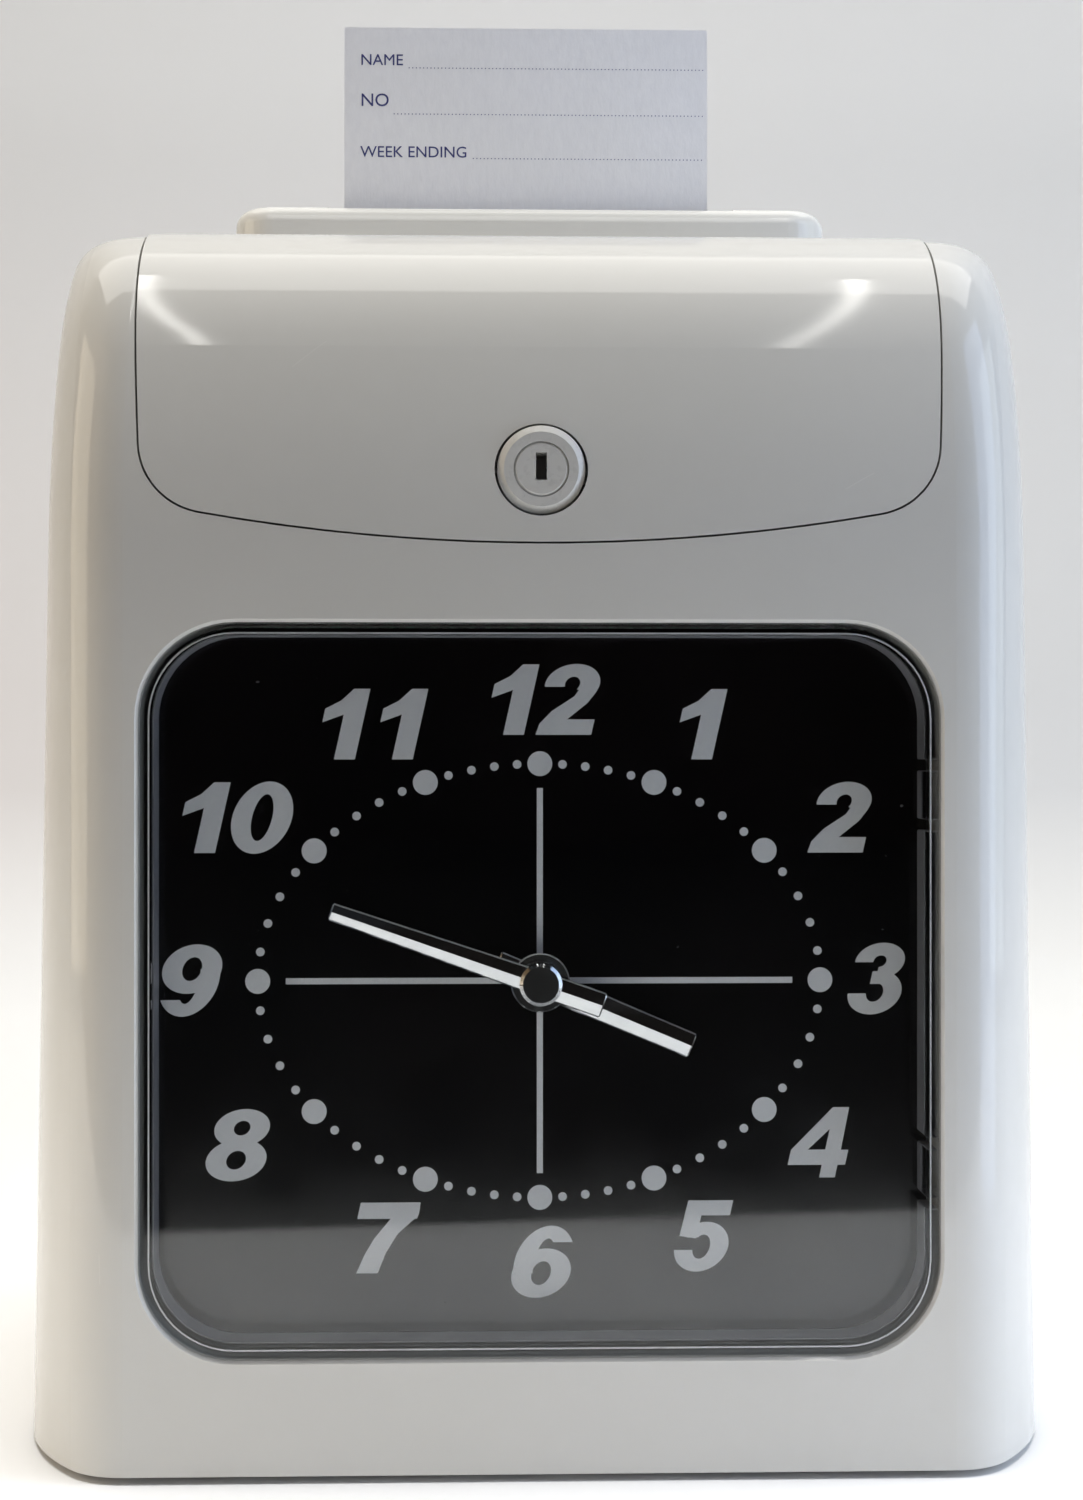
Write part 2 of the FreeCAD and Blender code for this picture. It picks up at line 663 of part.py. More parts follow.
def top_lid():
    """Lid shell with its rim, hinge knuckles and the hole for the lock."""
    hollow = lid_block(D.wall)
    deep_side = lean_prism(D.lid_rim, D.hinge_deep - D.barrel - 1)
    barrel_front = D.hinge_deep - D.barrel - 1.5
    below_barrel = block((-120, 120), (barrel_front, D.depth), (100, HINGE_HIGH - D.barrel))
    shell = lid_block(0).cut(hollow).cut(deep_side).cut(below_barrel)
    for side in LEFT_RIGHT:
        for edge in (-1, 1):
            middle = side * D.knuckle_at + edge * (D.knuckle_wide / 2 + 2.9)
            disc = drum(ALONG_X, D.barrel - 0.2, (middle - 2, D.hinge_deep, HINGE_HIGH), 4)
            shell = shell.fuse(disc)
        gap = D.knuckle_wide / 2 + 0.6
        middle = side * D.knuckle_at
        notch = block((middle - gap, middle + gap), (D.hinge_deep - 6.2, D.depth), (HINGE_HIGH - 8, 262))
        bore = drum(ALONG_X, D.hinge_pin + D.running, (middle - 12, D.hinge_deep, HINGE_HIGH), 24)
        shell = shell.cut(notch).cut(bore)
    boss = drum(ALONG_Y, D.lock_ring + 2.5, (0, 0, D.lock_high), 12).common(lid_block(0))
    hole = drum(ALONG_Y, D.lock_ring + 0.5, (0, -2, D.lock_high), 20)
    return shell.fuse(boss).cut(hole).removeSplitter()


node(feature("lid_shell", top_lid()), "top_lid")


def lock_barrel():
    """Lock housing: a faced sleeve that the lid carries, held by a nut behind."""
    ring = rod("lock_flange", "Y", "lock_ring", ("0", "1.4", "lock_high"), "8")
    bevel = cone("lock_bevel", "Y", "lock_ring-1.3", "lock_ring", ("0", "0.4", "lock_high"), "1")
    sleeve = rod("lock_sleeve", "Y", "lock_ring-1", ("0", "9.4", "lock_high"), "12.6")
    bore = rod("lock_bore", "Y", "lock_core+running", ("0", "0", "lock_high"), "30")
    return cut("lock_body_turned", fuse("lock_body_blank", ring, bevel, sleeve), bore)


node(lock_barrel(), "lock_body")
nut_blank = rod("lock_nut_blank", "Y", "lock_ring+2.2", ("0", "12", "lock_high"), "2.6")
nut_bore = rod("lock_nut_bore", "Y", "lock_ring-1", ("0", "11", "lock_high"), "5")
node(cut("lock_nut_turned", nut_blank, nut_bore), "lock_nut")
core_front = rod("lock_core_front", "Y", "lock_core", ("0", "0.9", "lock_high"), "21.3")
core_face = cone("lock_core_face", "Y", "lock_core-0.5", "lock_core", ("0", "0.4", "lock_high"), "0.5")
core_tail = rod("lock_core_tail", "Y", "3", ("0", "22.2", "lock_high"), "2.6")
key_slot = box("key_slot", ("-1.05", "1.05"), ("0", "9"), ("lock_high-2.1", "lock_high+3.2"))
key_ward = box("key_ward", ("-1.8", "1.8"), ("1.4", "9"), ("lock_high-0.2", "lock_high+1.2"))
core_whole = fuse("lock_core_whole", core_front, core_face, core_tail)
node(cut("lock_core_cut", core_whole, key_slot, key_ward), "lock_cylinder")
cam_eye = rod("cam_eye", "Y", "6.5", ("0", "22.3", "lock_high"), "1.7")
cam_arm = box("cam_arm", ("0", "19"), ("22.3", "24"), ("lock_high-4", "lock_high+4"))
cam_bore = rod("cam_bore", "Y", "3", ("0", "20", "lock_high"), "6")
node(cut("cam_cut", fuse("cam_blank", cam_eye, cam_arm), cam_bore), "lock_cam")


# ---------------------------------------------------------------- hinge of the lid

def hinge_knuckles():
    """Two knuckles on pads under the crown of the rear case, either side of the card slot."""
    solids = []
    for side in LEFT_RIGHT:
        middle = side * D.knuckle_at
        half = D.knuckle_wide / 2
        eye = drum(ALONG_X, D.barrel - 0.9, (middle - half, D.hinge_deep, HINGE_HIGH), 2 * half)
        arm = block((middle - half, middle + half), (D.hinge_deep, 100), (HINGE_HIGH - 3, HINGE_HIGH + 2.2))
        pad_span = sorted((side * (D.knuckle_at - 5.5), side * (D.knuckle_at + 1.5)))
        pad = block(pad_span, (87, 100), (HINGE_HIGH - 3, crown_high() - D.wall))
        bore = drum(ALONG_X, D.hinge_pin, (middle - 10, D.hinge_deep, HINGE_HIGH), 20)
        solids.append(eye.fuse(arm).fuse(pad).cut(bore).removeSplitter())
    return Part.Compound(solids)


node(feature("knuckles", hinge_knuckles()), "hinge_knuckles")
pins = []
for side in LEFT_RIGHT:
    start = side * D.knuckle_at - D.knuckle_wide / 2 - 4.6
    pin = doc.addObject("Part::Cylinder", f"pin_{side + 1}")
    bind(pin, "Radius", "hinge_pin")
    bind(pin, "Height", "knuckle_wide+9.2")
    pins.append(place(pin, str(start), "hinge_deep", str(HINGE_HIGH), turn("X")))
node(group("pins", *pins), "hinge_pins")


# ---------------------------------------------------------------- dial

def oval_spot(minute):
    """Place on the oval of dots for a minute: the true clock angle, cut by the oval."""
    angle = 6 * minute
    reach = 1 / math.sqrt((sin(angle) / D.ring_wide) ** 2 + (cos(angle) / D.ring_tall) ** 2)
    return reach * sin(angle), D.hub_high + reach * cos(angle)


DIAL_FACE = D.dial_deep - D.print_thick


def dial_markers():
    """Hour dots, minute dots and the four bars of the cross."""
    marks = []
    for minute in range(60):
        x, z = oval_spot(minute)
        radius = D.minute_dot if minute % 5 else D.hour_dot
        marks.append(drum(ALONG_Y, radius, (x, DIAL_FACE, z), D.print_thick))
    half = 0.6
    deep = (DIAL_FACE, D.dial_deep)
    for side in LEFT_RIGHT:
        span = sorted((side * 5, side * (D.ring_wide - 5.5)))
        marks.append(block(span, deep, (D.hub_high - half, D.hub_high + half)))
        rise = sorted((side * 5, side * (D.ring_tall - 4.8)))
        marks.append(block((-half, half), deep, (D.hub_high + rise[0], D.hub_high + rise[1])))
    return Part.Compound(marks)


STEM = 3.9
FLAT = 2.5
FIGURE_ADVANCE = 11.4
FIGURE_MIDDLE = 5.7
SLANT = 12.5
FAR = 16


def bar(corners):
    """A flat straight-edged piece of a numeral."""
    points = [V(x, 0, z) for x, z in corners]
    return Part.Face(Part.makePolygon(points + points[:1])).extrude(V(0, D.print_thick, 0))


def bow(x, z, wide, tall, keep=None, stem=STEM, flat=FLAT):
    """An oval ring of a numeral round x and z, or the part of it inside the corners of keep."""
    def oval(half_wide, half_tall):
        across = V(half_wide, 0, 0)
        up = V(0, 0, half_tall)
        ends = (up, across) if half_tall >= half_wide else (across, up)
        outline = Part.Wire(Part.Ellipse(*ends, V(0, 0, 0)).toShape())
        return Part.Face(outline).extrude(V(0, D.print_thick, 0))

    ring = oval(wide, tall).cut(oval(wide - stem, tall - flat))
    ring.translate(V(x, 0, z))
    return ring.common(bar(keep)) if keep else ring


def figure(digit):
    """One upright numeral of heavy type, standing on z = 0."""
    tall = D.numeral_high
    middle = FIGURE_MIDDLE
    if digit == "0":
        return bow(middle - 0.3, tall / 2, 5.9, tall / 2 + 0.15)
    if digit == "1":
        flag = [(5.9, tall), (3.9, 11.6), (1.1, 10), (1.1, 7.3), (5, 8.85)]
        return bar([(5, 0), (9.1, 0), (9.1, tall)] + flag)
    if digit == "2":
        right = [(-3, 9.5), (middle - 0.6, 9.5), (FAR, 4.6), (FAR, FAR), (-3, FAR)]
        top = bow(middle - 0.6, tall - 3.85, 5.4, 3.95, right)
        upward = [(0, 0), (0.3, 2.2), (2.2, 4.7), (6, 7.6), (6.8, 9.2)]
        slope = bar(upward + [(10.2, 8.6), (8.9, 6.3), (5.5, 3), (5.5, 0)])
        return top.fuse([slope, bar([(0, 0), (11, 0), (11, 3.05), (1, 3.05)])])
    if digit == "3":
        above = [(-3, tall - 3.7), (5, tall - 3.7), (5, 6), (FAR, 6), (FAR, FAR), (-3, FAR)]
        below = [(-3, 4), (5.3, 4), (5.3, 8.6), (FAR, 8.6), (FAR, -3), (-3, -3)]
        top = bow(5, tall - 3.5, 4.9, 3.65, above, 3.6)
        low = bow(5.3, 4.2, 5.3, 4.35, below, 3.6)
        return top.fuse([low, bar([(4, 5.9), (7.2, 5.9), (7.2, 8.4), (4, 8.4)])])
    if digit == "4":
        foot = [(0, 2.5), (6.8, 2.5), (6.8, 0), (9.9, 0), (9.9, 2.5)]
        arm = [(11.4, 2.5), (11.4, 5.45), (9.9, 5.45)]
        outer = bar(foot + arm + [(9.7, tall), (6.5, tall), (0, 5.45)])
        return outer.cut(bar([(3.3, 5.5), (6.8, 5.5), (6.8, 9.6)]))
    if digit == "5":
        left_out = [(-3, -3), (FAR, -3), (FAR, FAR), (2, FAR), (2, 6.6), (5.3, 6.6), (5.3, 4.1), (-3, 4.1)]
        bowl = bow(5.3, 4.75, 5.3, 4.9, left_out, 3.6)
        stem = bar([(0.5, 6.9), (3.9, 6.4), (3.9, 8.6), (4, tall), (0.75, tall)])
        return bowl.fuse([stem, bar([(0.6, tall - 2.95), (9.6, tall - 2.95), (9.6, tall), (0.75, tall)])])
    if digit == "6":
        back = [(-3, 4.7), (middle, 4.7), (middle, 10.8), (FAR, 10.8), (FAR, FAR), (-3, FAR)]
        return bow(middle, 4.7, 5.8, 4.85).fuse(bow(middle, tall / 2, 5.8, tall / 2 + 0.15, back))
    if digit == "7":
        right_side = [(2.2, 0), (6.4, 0), (7.1, 3.9), (8.6, 7.7), (11.9, 11.4), (11.9, tall - 1)]
        left_side = [(6.6, tall - 1), (6.6, tall - 3.2), (4.2, 6.8), (3, 3.6)]
        leg = bar(right_side + left_side)
        return leg.fuse(bar([(0, tall - 3.2), (11.8, tall - 3.2), (11.8, tall), (0, tall)]))
    if digit == "8":
        low = bow(5.9, 4.0, 5.9, 4.15, None, 4, 2.3)
        return low.fuse(bow(5.7, tall - 3.6, 5.4, 3.75, None, 3.8, 2.3))
    turned = figure("6")
    turned.rotate(V(middle, 0, tall / 2), V(0, 1, 0), 180)
    return turned


def numeral(value, x, z):
    """A one or two figure numeral in slanted heavy type, its middle at x and z."""
    figures = []
    for place_in_row, digit in enumerate(str(value)):
        shape = figure(digit).removeSplitter()
        shape.translate(V(place_in_row * FIGURE_ADVANCE, 0, 0))
        figures.append(shape)
    row = Part.Compound(figures)
    shear = FreeCAD.Matrix()
    shear.A13 = math.tan(math.radians(SLANT))
    row = row.transformGeometry(shear)
    middle = row.optimalBoundingBox(False, False).Center
    row.translate(V(x - middle.x, D.front + DIAL_FACE, z - middle.z))
    return row


NUDGE = {12: 0.8, 3: -0.9, 4: -4.2, 7: 2.6, 9: -0.9}


def dial_numerals():
    """The hours, upright, on a rounder path than the dots; a few stand a little to one side of it."""
    quarter = {0: (0.4, 55.5), 1: (32.4, 50.6), 2: (59.4, 32.2), 3: (67.6, 0.2)}
    rows = []
    for hour in range(1, 13):
        folded = min(hour % 6, 6 - hour % 6)
        x, z = quarter[folded]
        x = x if hour < 7 or hour == 12 else -x
        z = z if hour in (1, 2, 3, 9, 10, 11, 12) else -z
        rows.append(numeral(hour, x + NUDGE.get(hour, 0), D.hub_high + z))
    return Part.Compound([solid for row in rows for solid in row.Solids])


dial_blank = window_prism(-0.5, (D.dial_deep, D.dial_deep + D.dial_thick))
dial_hole = drum(ALONG_Y, 4.2, (0, 0, D.hub_high), 40)
node(feature("dial_sheet", dial_blank.cut(dial_hole)), "dial_plate")
node(feature("dial_dots", dial_markers()), "dial_markers")
node(feature("dial_figures", dial_numerals()), "dial_numerals")


# ---------------------------------------------------------------- gears

def gear(teeth, module, thick, bore=0.0):
    """A spur gear with its axis along Y, a tooth towards +Z, standing on y = 0."""
    pitch = module * teeth / 2
    base = pitch * cos(20)
    tip = pitch + 0.72 * module
    root = pitch - 1.05 * module
    play = 0.05 + 0.04 * module

    def unwound(radius):
        return math.sqrt((radius / base) ** 2 - 1) - math.acos(base / radius)

    half_at_pitch = math.pi / (2 * teeth) - play / (2 * pitch)
    start = max(base, root)
    flank = [start + (tip - start) * step / 3 for step in range(4)]
    halves = [(radius, half_at_pitch + unwound(pitch) - unwound(radius)) for radius in flank]
    if root < base:
        halves.insert(0, (root, halves[0][1]))
    points = []
    for tooth in range(teeth):
        middle = 2 * math.pi * tooth / teeth
        for radius, half in halves:
            points.append(V(radius * math.sin(middle - half), 0, radius * math.cos(middle - half)))
        for radius, half in reversed(halves):
            points.append(V(radius * math.sin(middle + half), 0, radius * math.cos(middle + half)))
    solid = Part.Face(Part.makePolygon(points + points[:1])).extrude(V(0, thick, 0))
    if bore:
        solid = solid.cut(Part.makeCylinder(bore, 3 * thick, V(0, -thick, 0), V(0, 1, 0)))
    return solid


def spin(shape, degrees, x, deep, z):
    """Turn a part on its own Y axis and put it in place."""
    shape.Placement = FreeCAD.Placement(V(x, D.front + deep, z), FreeCAD.Rotation(V(0, 1, 0), degrees))
    return shape


HAND_EDGE = 0.3


def roof_hand(long, tip_wide, root_wide, tail, boss, bore):
    """A hand pointing to +Z with its back on y = 0: a central ridge and a narrow bevel round the rim."""
    def section(z, wide, trim=0):
        side = wide / 2 - trim
        edge = side - HAND_EDGE
        high = 1.1 - trim
        corners = [(-side, 0), (side, 0), (side, -0.3), (edge, -0.62 + trim / 2), (0, -high)]
        corners += [(-edge, -0.62 + trim / 2), (-side, -0.3)]
        points = [V(x, y, z) for x, y in corners]
        return Part.makePolygon(points + points[:1])

    pieces = []
    for reach, wide, way in ((long, tip_wide, 1), (tail, root_wide, -1)):
        blade = Part.makeLoft([section(0, root_wide), section(way * (reach - HAND_EDGE), wide)], True, True)
        outlines = [section(way * (reach - HAND_EDGE), wide), section(way * reach, wide, HAND_EDGE)]
        end = Part.makeLoft(outlines, True, True)
        pieces += [blade, end]
    eye = Part.makeCylinder(boss, 0.95, V(0, -0.95, 0), V(0, 1, 0))
    eye_bevel = Part.makeCone(boss - HAND_EDGE, boss, HAND_EDGE, V(0, -1.25, 0), V(0, 1, 0))
    hole = Part.makeCylinder(bore, 10, V(0, -5, 0), V(0, 1, 0))
    return pieces[0].fuse(pieces[1:] + [eye, eye_bevel]).cut(hole).removeSplitter()


CLOCK_REACH = D.clock_module * (12 + 36) / 2
MOTOR_REACH = D.clock_module * (60 + 10) / 2
minute_hand = roof_hand(D.minute_long, 3.5, 5, 13, 3.9, 1.2)
node(feature("minute_blade", spin(minute_hand, D.minute_turn, 0, 5.9, D.hub_high)), "minute_hand")
hour_hand = roof_hand(D.hour_long, 5, 5.4, 9.3, 5.8, 3.2)
node(feature("hour_blade", spin(hour_hand, D.hour_turn, 0, 8.7, D.hub_high)), "hour_hand")
cap_disc = rod("cap_disc", "Y", "4.15", ("0", "3.7", "hub_high"), "0.9")
cap_bevel = cone("cap_bevel", "Y", "3.5", "4.15", ("0", "3.2", "hub_high"), "0.5")
node(fuse("cap_whole", cap_disc, cap_bevel), "hand_cap")


def minute_arbor():
    """Arbor of the minute hand with its cannon pinion and the large centre wheel."""
    thin = drum(ALONG_Y, 1.2, (0, 4.6, D.hub_high), 29)
    thick = drum(ALONG_Y, 1.9, (0, 6.3, D.hub_high), 13)
    pinion = spin(gear(12, D.clock_module, 2), 180, 0, 17.2, D.hub_high)
    wheel = spin(gear(60, D.clock_module, 1.2), 180, 0, 26, D.hub_high)
    return thin.fuse([thick, pinion, wheel])


def hour_pipe():
    """Pipe that carries the hour hand, with the hour wheel behind the dial."""
    pipe = drum(ALONG_Y, 3.2, (0, 7.2, D.hub_high), 8)
    wheel = spin(gear(40, D.hour_module, 1.6), 180 + 180 / 40, 0, 15, D.hub_high)
    bore = drum(ALONG_Y, 1.9 + D.running, (0, 0, D.hub_high), 30)
    return pipe.fuse(wheel).cut(bore)


def minute_wheel():
    """Intermediate wheel and pinion below the clock axis."""
    high = D.hub_high - CLOCK_REACH
    wheel = spin(gear(36, D.clock_module, 1.4), 180 / 36, 0, 17.4, high)
    pinion = spin(gear(10, D.hour_module, 2.6), 0, 0, 14.8, high)
    arbor = drum(ALONG_Y, 1, (0, 14.7, high), 7.5)
    return wheel.fuse([pinion, arbor])


def motor_pinion():
    high = D.hub_high - MOTOR_REACH
    pinion = spin(gear(10, D.clock_module, 2), 180 / 10, 0, 25.6, high)
    return pinion.fuse(drum(ALONG_Y, 0.9, (0, 24, high), 16))


node(feature("arbor_turned", minute_arbor()), "minute_arbor")
node(feature("pipe_turned", hour_pipe()), "hour_wheel")
node(feature("wheel_cut", minute_wheel()), "minute_wheel")
node(feature("pinion_cut", motor_pinion()), "motor_pinion")

POST_SPOTS = [(x, z) for x in ("-23", "23") for z in ("hub_high-23", "hub_high+23")]
plate_outline = rectangle(("-27", "27"), ("hub_high-27", "hub_high+27"))
wheel_bore = ("0", f"hub_high-{CLOCK_REACH}", "1+running")
motor_bore = ("0", f"hub_high-{MOTOR_REACH}", "0.9+running")
centre_bore = ("0", "hub_high", "1.2+running")
front_plate = plate("plate_front", "XZ", plate_outline, "21", "22.2", [centre_bore, wheel_bore], "3")
rear_plate = plate("plate_rear", "XZ", plate_outline, "31", "32.2", [centre_bore, motor_bore], "3")
posts = [rod(f"post_{index}", "Y", "2", (x, "14.5", z), "17.7") for index, (x, z) in enumerate(POST_SPOTS)]
node(fuse("movement_whole", front_plate, rear_plate, *posts), "movement_frame")
motor_high = f"hub_high-{MOTOR_REACH}"
motor_can = rod("clock_motor_can", "Y", "13", ("0", "32.2", motor_high), "14")
motor_hole = rod("clock_motor_hole", "Y", "0.9+running", ("0", "30", motor_high), "12")
node(cut("clock_motor_cut", motor_can, motor_hole), "clock_motor")


# ---------------------------------------------------------------- chassis and card path

FEED_DEEP = D.card_deep + D.card_thick / 2 + 0.05 + D.feed_round
PINCH_DEEP = D.card_deep - D.card_thick / 2 - 0.05 - D.pinch_round
FEED_REACH = D.feed_module * (30 + 12) / 2
FEED_TILT = 50
FEED_MOTOR_DEEP = FEED_DEEP + FEED_REACH * cos(FEED_TILT)
FEED_MOTOR_HIGH = D.feed_high - FEED_REACH * sin(FEED_TILT)
SCREW_MODULE = 0.6
SCREW_REACH = SCREW_MODULE * (24 + 12) / 2
SCREW_TILT = 20
HEAD_MOTOR_DEEP = D.rail_deep - SCREW_REACH * cos(SCREW_TILT)
HEAD_MOTOR_HIGH = D.screw_high - SCREW_REACH * sin(SCREW_TILT)

chassis_outline = [
    ("chassis_front", "chassis_low"), ("chassis_back", "chassis_low"), ("chassis_back", "chassis_top-10"),
    ("chassis_back-10", "chassis_top"), ("50", "chassis_top"), ("50", "rail_high-8"),
    ("chassis_front", "rail_high-20"),
]
chassis_holes = [
    (str(FEED_DEEP), "feed_high", "feed_shaft+running"),
    ("rail_deep", "rail_high", "rail_round"),
    ("rail_deep", "screw_high", "screw_round+running"),
]
motor_places = ((FEED_MOTOR_DEEP, FEED_MOTOR_HIGH), (HEAD_MOTOR_DEEP, HEAD_MOTOR_HIGH))
gear_holes = [(str(deep), str(high), "3") for deep, high in motor_places]
node(plate("plate_left", "YZ", chassis_outline, "-chassis_half", "sheet_metal-chassis_half",
           chassis_holes + gear_holes), "chassis_left")
node(plate("plate_right", "YZ", chassis_outline, "chassis_half-sheet_metal", "chassis_half", chassis_holes),
     "chassis_right")
inner_half = "chassis_half-sheet_metal"
node(box("tray", (f"-({inner_half})", inner_half), ("chassis_front", "chassis_back"),
         ("chassis_low", "chassis_low+sheet_metal")), "chassis_tray")

GUIDE_FRONT = ("card_deep-slot_wide/2-1", "card_deep-slot_wide/2")
GUIDE_REAR = ("card_deep+slot_wide/2", "card_deep+slot_wide/2+1")
roller_gap = ("feed_high-feed_round-1.5", "feed_high+feed_round+1.5")
print_gap = ("rail_high+1", "rail_high+19")
guide_sheet = box("guide_front_sheet", ("-50", "50"), GUIDE_FRONT, ("92", "241"))
front_windows = [
    box("front_print_window", ("-36", "36"), ("80", "92"), print_gap),
    box("front_left_window", ("-31", "-13"), ("80", "92"), roller_gap),
    box("front_right_window", ("13", "31"), ("80", "92"), roller_gap),
]
node(cut("guide_front_cut", guide_sheet, *front_windows), "card_guide_front")
rear_sheet = box("guide_rear_sheet", ("-50", "50"), GUIDE_REAR, ("92", "241"))
edge_strips = [
    box(f"guide_edge_{side + 1}", tuple(sorted((str(side * 50), str(side * 44)), key=float)),
        ("card_deep-slot_wide/2", "card_deep+slot_wide/2"), ("92", "241"))
    for side in LEFT_RIGHT
]
stop_bar = box("guide_stop", ("-44", "44"), ("card_deep-slot_wide/2", "card_deep+slot_wide/2"), ("92", "95"))
rear_windows = [
    box("rear_print_window", ("-40", "40"), ("94", "99"), print_gap),
    box("rear_left_window", ("-31", "-13"), ("94", "99"), roller_gap),
    box("rear_right_window", ("13", "31"), ("94", "99"), roller_gap),
]
rear_blank = fuse("guide_rear_blank", rear_sheet, stop_bar, *edge_strips)
node(cut("guide_rear_cut", rear_blank, *rear_windows), "card_guide_rear")
platen_face = box("platen_face", ("-39", "39"), ("94.1", "96"), ("rail_high+2", "rail_high+18"))
across = (f"-({inner_half})", inner_half)
platen_bar = box("platen_bar", across, ("96", "101"), ("rail_high+3", "rail_high+17"))
node(fuse("platen_whole", platen_face, platen_bar), "platen")
rail_from = ("-chassis_half", "rail_deep", "rail_high")
node(rod("rail", "X", "rail_round", rail_from, "2*chassis_half"), "carriage_rail")

card_sides = ("-card_half-card_aside", "card_half-card_aside")
card_outline = rectangle(card_sides, ("card_top-card_long", "card_top"))
card_faces = ("card_deep-card_thick/2", "card_deep+card_thick/2")
node(plate("card_sheet", "XZ", card_outline, *card_faces, (), "0.6"), "time_card")


# ---------------------------------------------------------------- card feed

def lay_along_x(shape, degrees, x, deep, high):
    """Turn a gear from the Y axis to the X axis, a tooth at the given angle from up towards the front."""
    shape.rotate(V(0, 0, 0), V(0, 0, 1), -90)
    shape.rotate(V(0, 0, 0), V(1, 0, 0), degrees)
    shape.translate(V(x, D.front + deep, high))
    return shape


def feed_shaft():
    """Shaft of the card feed with its gear outside the chassis."""
    axle = drum(ALONG_X, D.feed_shaft, (-79, FEED_DEEP, D.feed_high), 153)
    wheel = lay_along_x(gear(30, D.feed_module, 3), -90 - FEED_TILT, -77, FEED_DEEP, D.feed_high)
    return axle.fuse(wheel)


def feed_pinion():
    pinion = gear(12, D.feed_module, 4)
    pinion = lay_along_x(pinion, 90 - FEED_TILT + 180 / 12, -77.5, FEED_MOTOR_DEEP, FEED_MOTOR_HIGH)
    axle = drum(ALONG_X, 1, (-78, FEED_MOTOR_DEEP, FEED_MOTOR_HIGH), 22)
    return pinion.fuse(axle)


node(feature("feed_axle", feed_shaft()), "feed_shaft")
rollers = []
for side in LEFT_RIGHT:
    on_shaft = (str(FEED_DEEP), "feed_high")
    outer = rod(f"roller_{side + 1}", "X", "feed_round", (str(side * 22 - 7), *on_shaft), "14")
    hole = rod(f"roller_hole_{side + 1}", "X", "feed_shaft", (str(side * 22 - 8), *on_shaft), "16")
    rollers.append(cut(f"roller_cut_{side + 1}", outer, hole))
node(group("rollers", *rollers), "feed_rollers")
pinch_axle = rod("pinch_axle", "X", "1.5", ("-38", str(PINCH_DEEP), "feed_high"), "76")
pinch_wheels = [
    rod(f"pinch_{side + 1}", "X", "pinch_round", (str(side * 22 - 6), str(PINCH_DEEP), "feed_high"), "12")
    for side in LEFT_RIGHT
]
node(fuse("pinch_whole", pinch_axle, *pinch_wheels), "pinch_rollers")
pinch_strip = box("pinch_strip", ("-36", "36"), ("80", "81.5"), ("feed_high-6", "feed_high+6"))
pinch_tabs = [
    box(f"pinch_tab_{side + 1}", tuple(sorted((str(side * 36), str(side * 34.5)), key=float)),
        ("81.5", "card_deep-slot_wide/2-1"), ("feed_high-6", "feed_high+6"))
    for side in LEFT_RIGHT
]
pinch_bore = rod("pinch_bore", "X", "1.5+running", ("-40", str(PINCH_DEEP), "feed_high"), "80")
node(cut("pinch_cut", fuse("pinch_frame", pinch_strip, *pinch_tabs), pinch_bore), "pinch_bracket")
node(feature("feed_pinion_cut", feed_pinion()), "feed_pinion")
feed_can = rod("feed_can", "X", "11", (f"-({inner_half})", str(FEED_MOTOR_DEEP), str(FEED_MOTOR_HIGH)), "26")
feed_hole = rod("feed_hole", "X", "1+running", ("-80", str(FEED_MOTOR_DEEP), str(FEED_MOTOR_HIGH)), "26")
node(cut("feed_motor_cut", feed_can, feed_hole), "feed_motor")


# ---------------------------------------------------------------- print carriage and ribbon

carriage_block = box("carriage_block", ("-13", "13"), ("63.5", "80"), ("rail_high-5", "screw_high+5"))
rail_bore = rod("rail_bore", "X", "rail_round+running", ("-20", "rail_deep", "rail_high"), "40")
screw_bore = rod("screw_bore", "X", "screw_round+0.35", ("-20", "rail_deep", "screw_high"), "40")
node(cut("carriage_cut", carriage_block, rail_bore, screw_bore), "print_carriage")
head_block = box("head_block", ("-8", "8"), ("80", "86"), ("rail_high+2", "rail_high+19"))
head_nose = box("head_nose", ("-4", "4"), ("86", "89.2"), ("rail_high+4", "rail_high+16"))
node(fuse("head_whole", head_block, head_nose), "print_head")


def lead_screw():
    """Lead screw with turned grooves, a gear outside the left chassis plate."""
    axle = drum(ALONG_X, D.screw_round, (-78, D.rail_deep, D.screw_high), 152)
    grooves = []
    for step in range(40):
        ring = drum(ALONG_X, D.screw_round + 1, (-59 + 3 * step, D.rail_deep, D.screw_high), 1.2)
        core = drum(ALONG_X, D.screw_round - 0.6, (-60 + 3 * step, D.rail_deep, D.screw_high), 4)
        grooves.append(ring.cut(core))
    wheel = lay_along_x(gear(24, SCREW_MODULE, 2.5), 90 + SCREW_TILT, -76.5, D.rail_deep, D.screw_high)
    return axle.cut(Part.Compound(grooves)).fuse(wheel)


def screw_pinion():
    half_tooth = 180 / 12
    pinion = gear(12, SCREW_MODULE, 3.5)
    pinion = lay_along_x(pinion, SCREW_TILT - 90 + half_tooth, -77, HEAD_MOTOR_DEEP, HEAD_MOTOR_HIGH)
    return pinion.fuse(drum(ALONG_X, 1, (-78, HEAD_MOTOR_DEEP, HEAD_MOTOR_HIGH), 22))


node(feature("lead_screw_turned", lead_screw()), "lead_screw")
node(feature("screw_pinion_cut", screw_pinion()), "screw_pinion")
head_can = rod("head_can", "X", "7.9", (f"-({inner_half})", str(HEAD_MOTOR_DEEP), str(HEAD_MOTOR_HIGH)), "24")
head_hole = rod("head_hole", "X", "1+running", ("-80", str(HEAD_MOTOR_DEEP), str(HEAD_MOTOR_HIGH)), "26")
node(cut("head_motor_cut", head_can, head_hole), "carriage_motor")

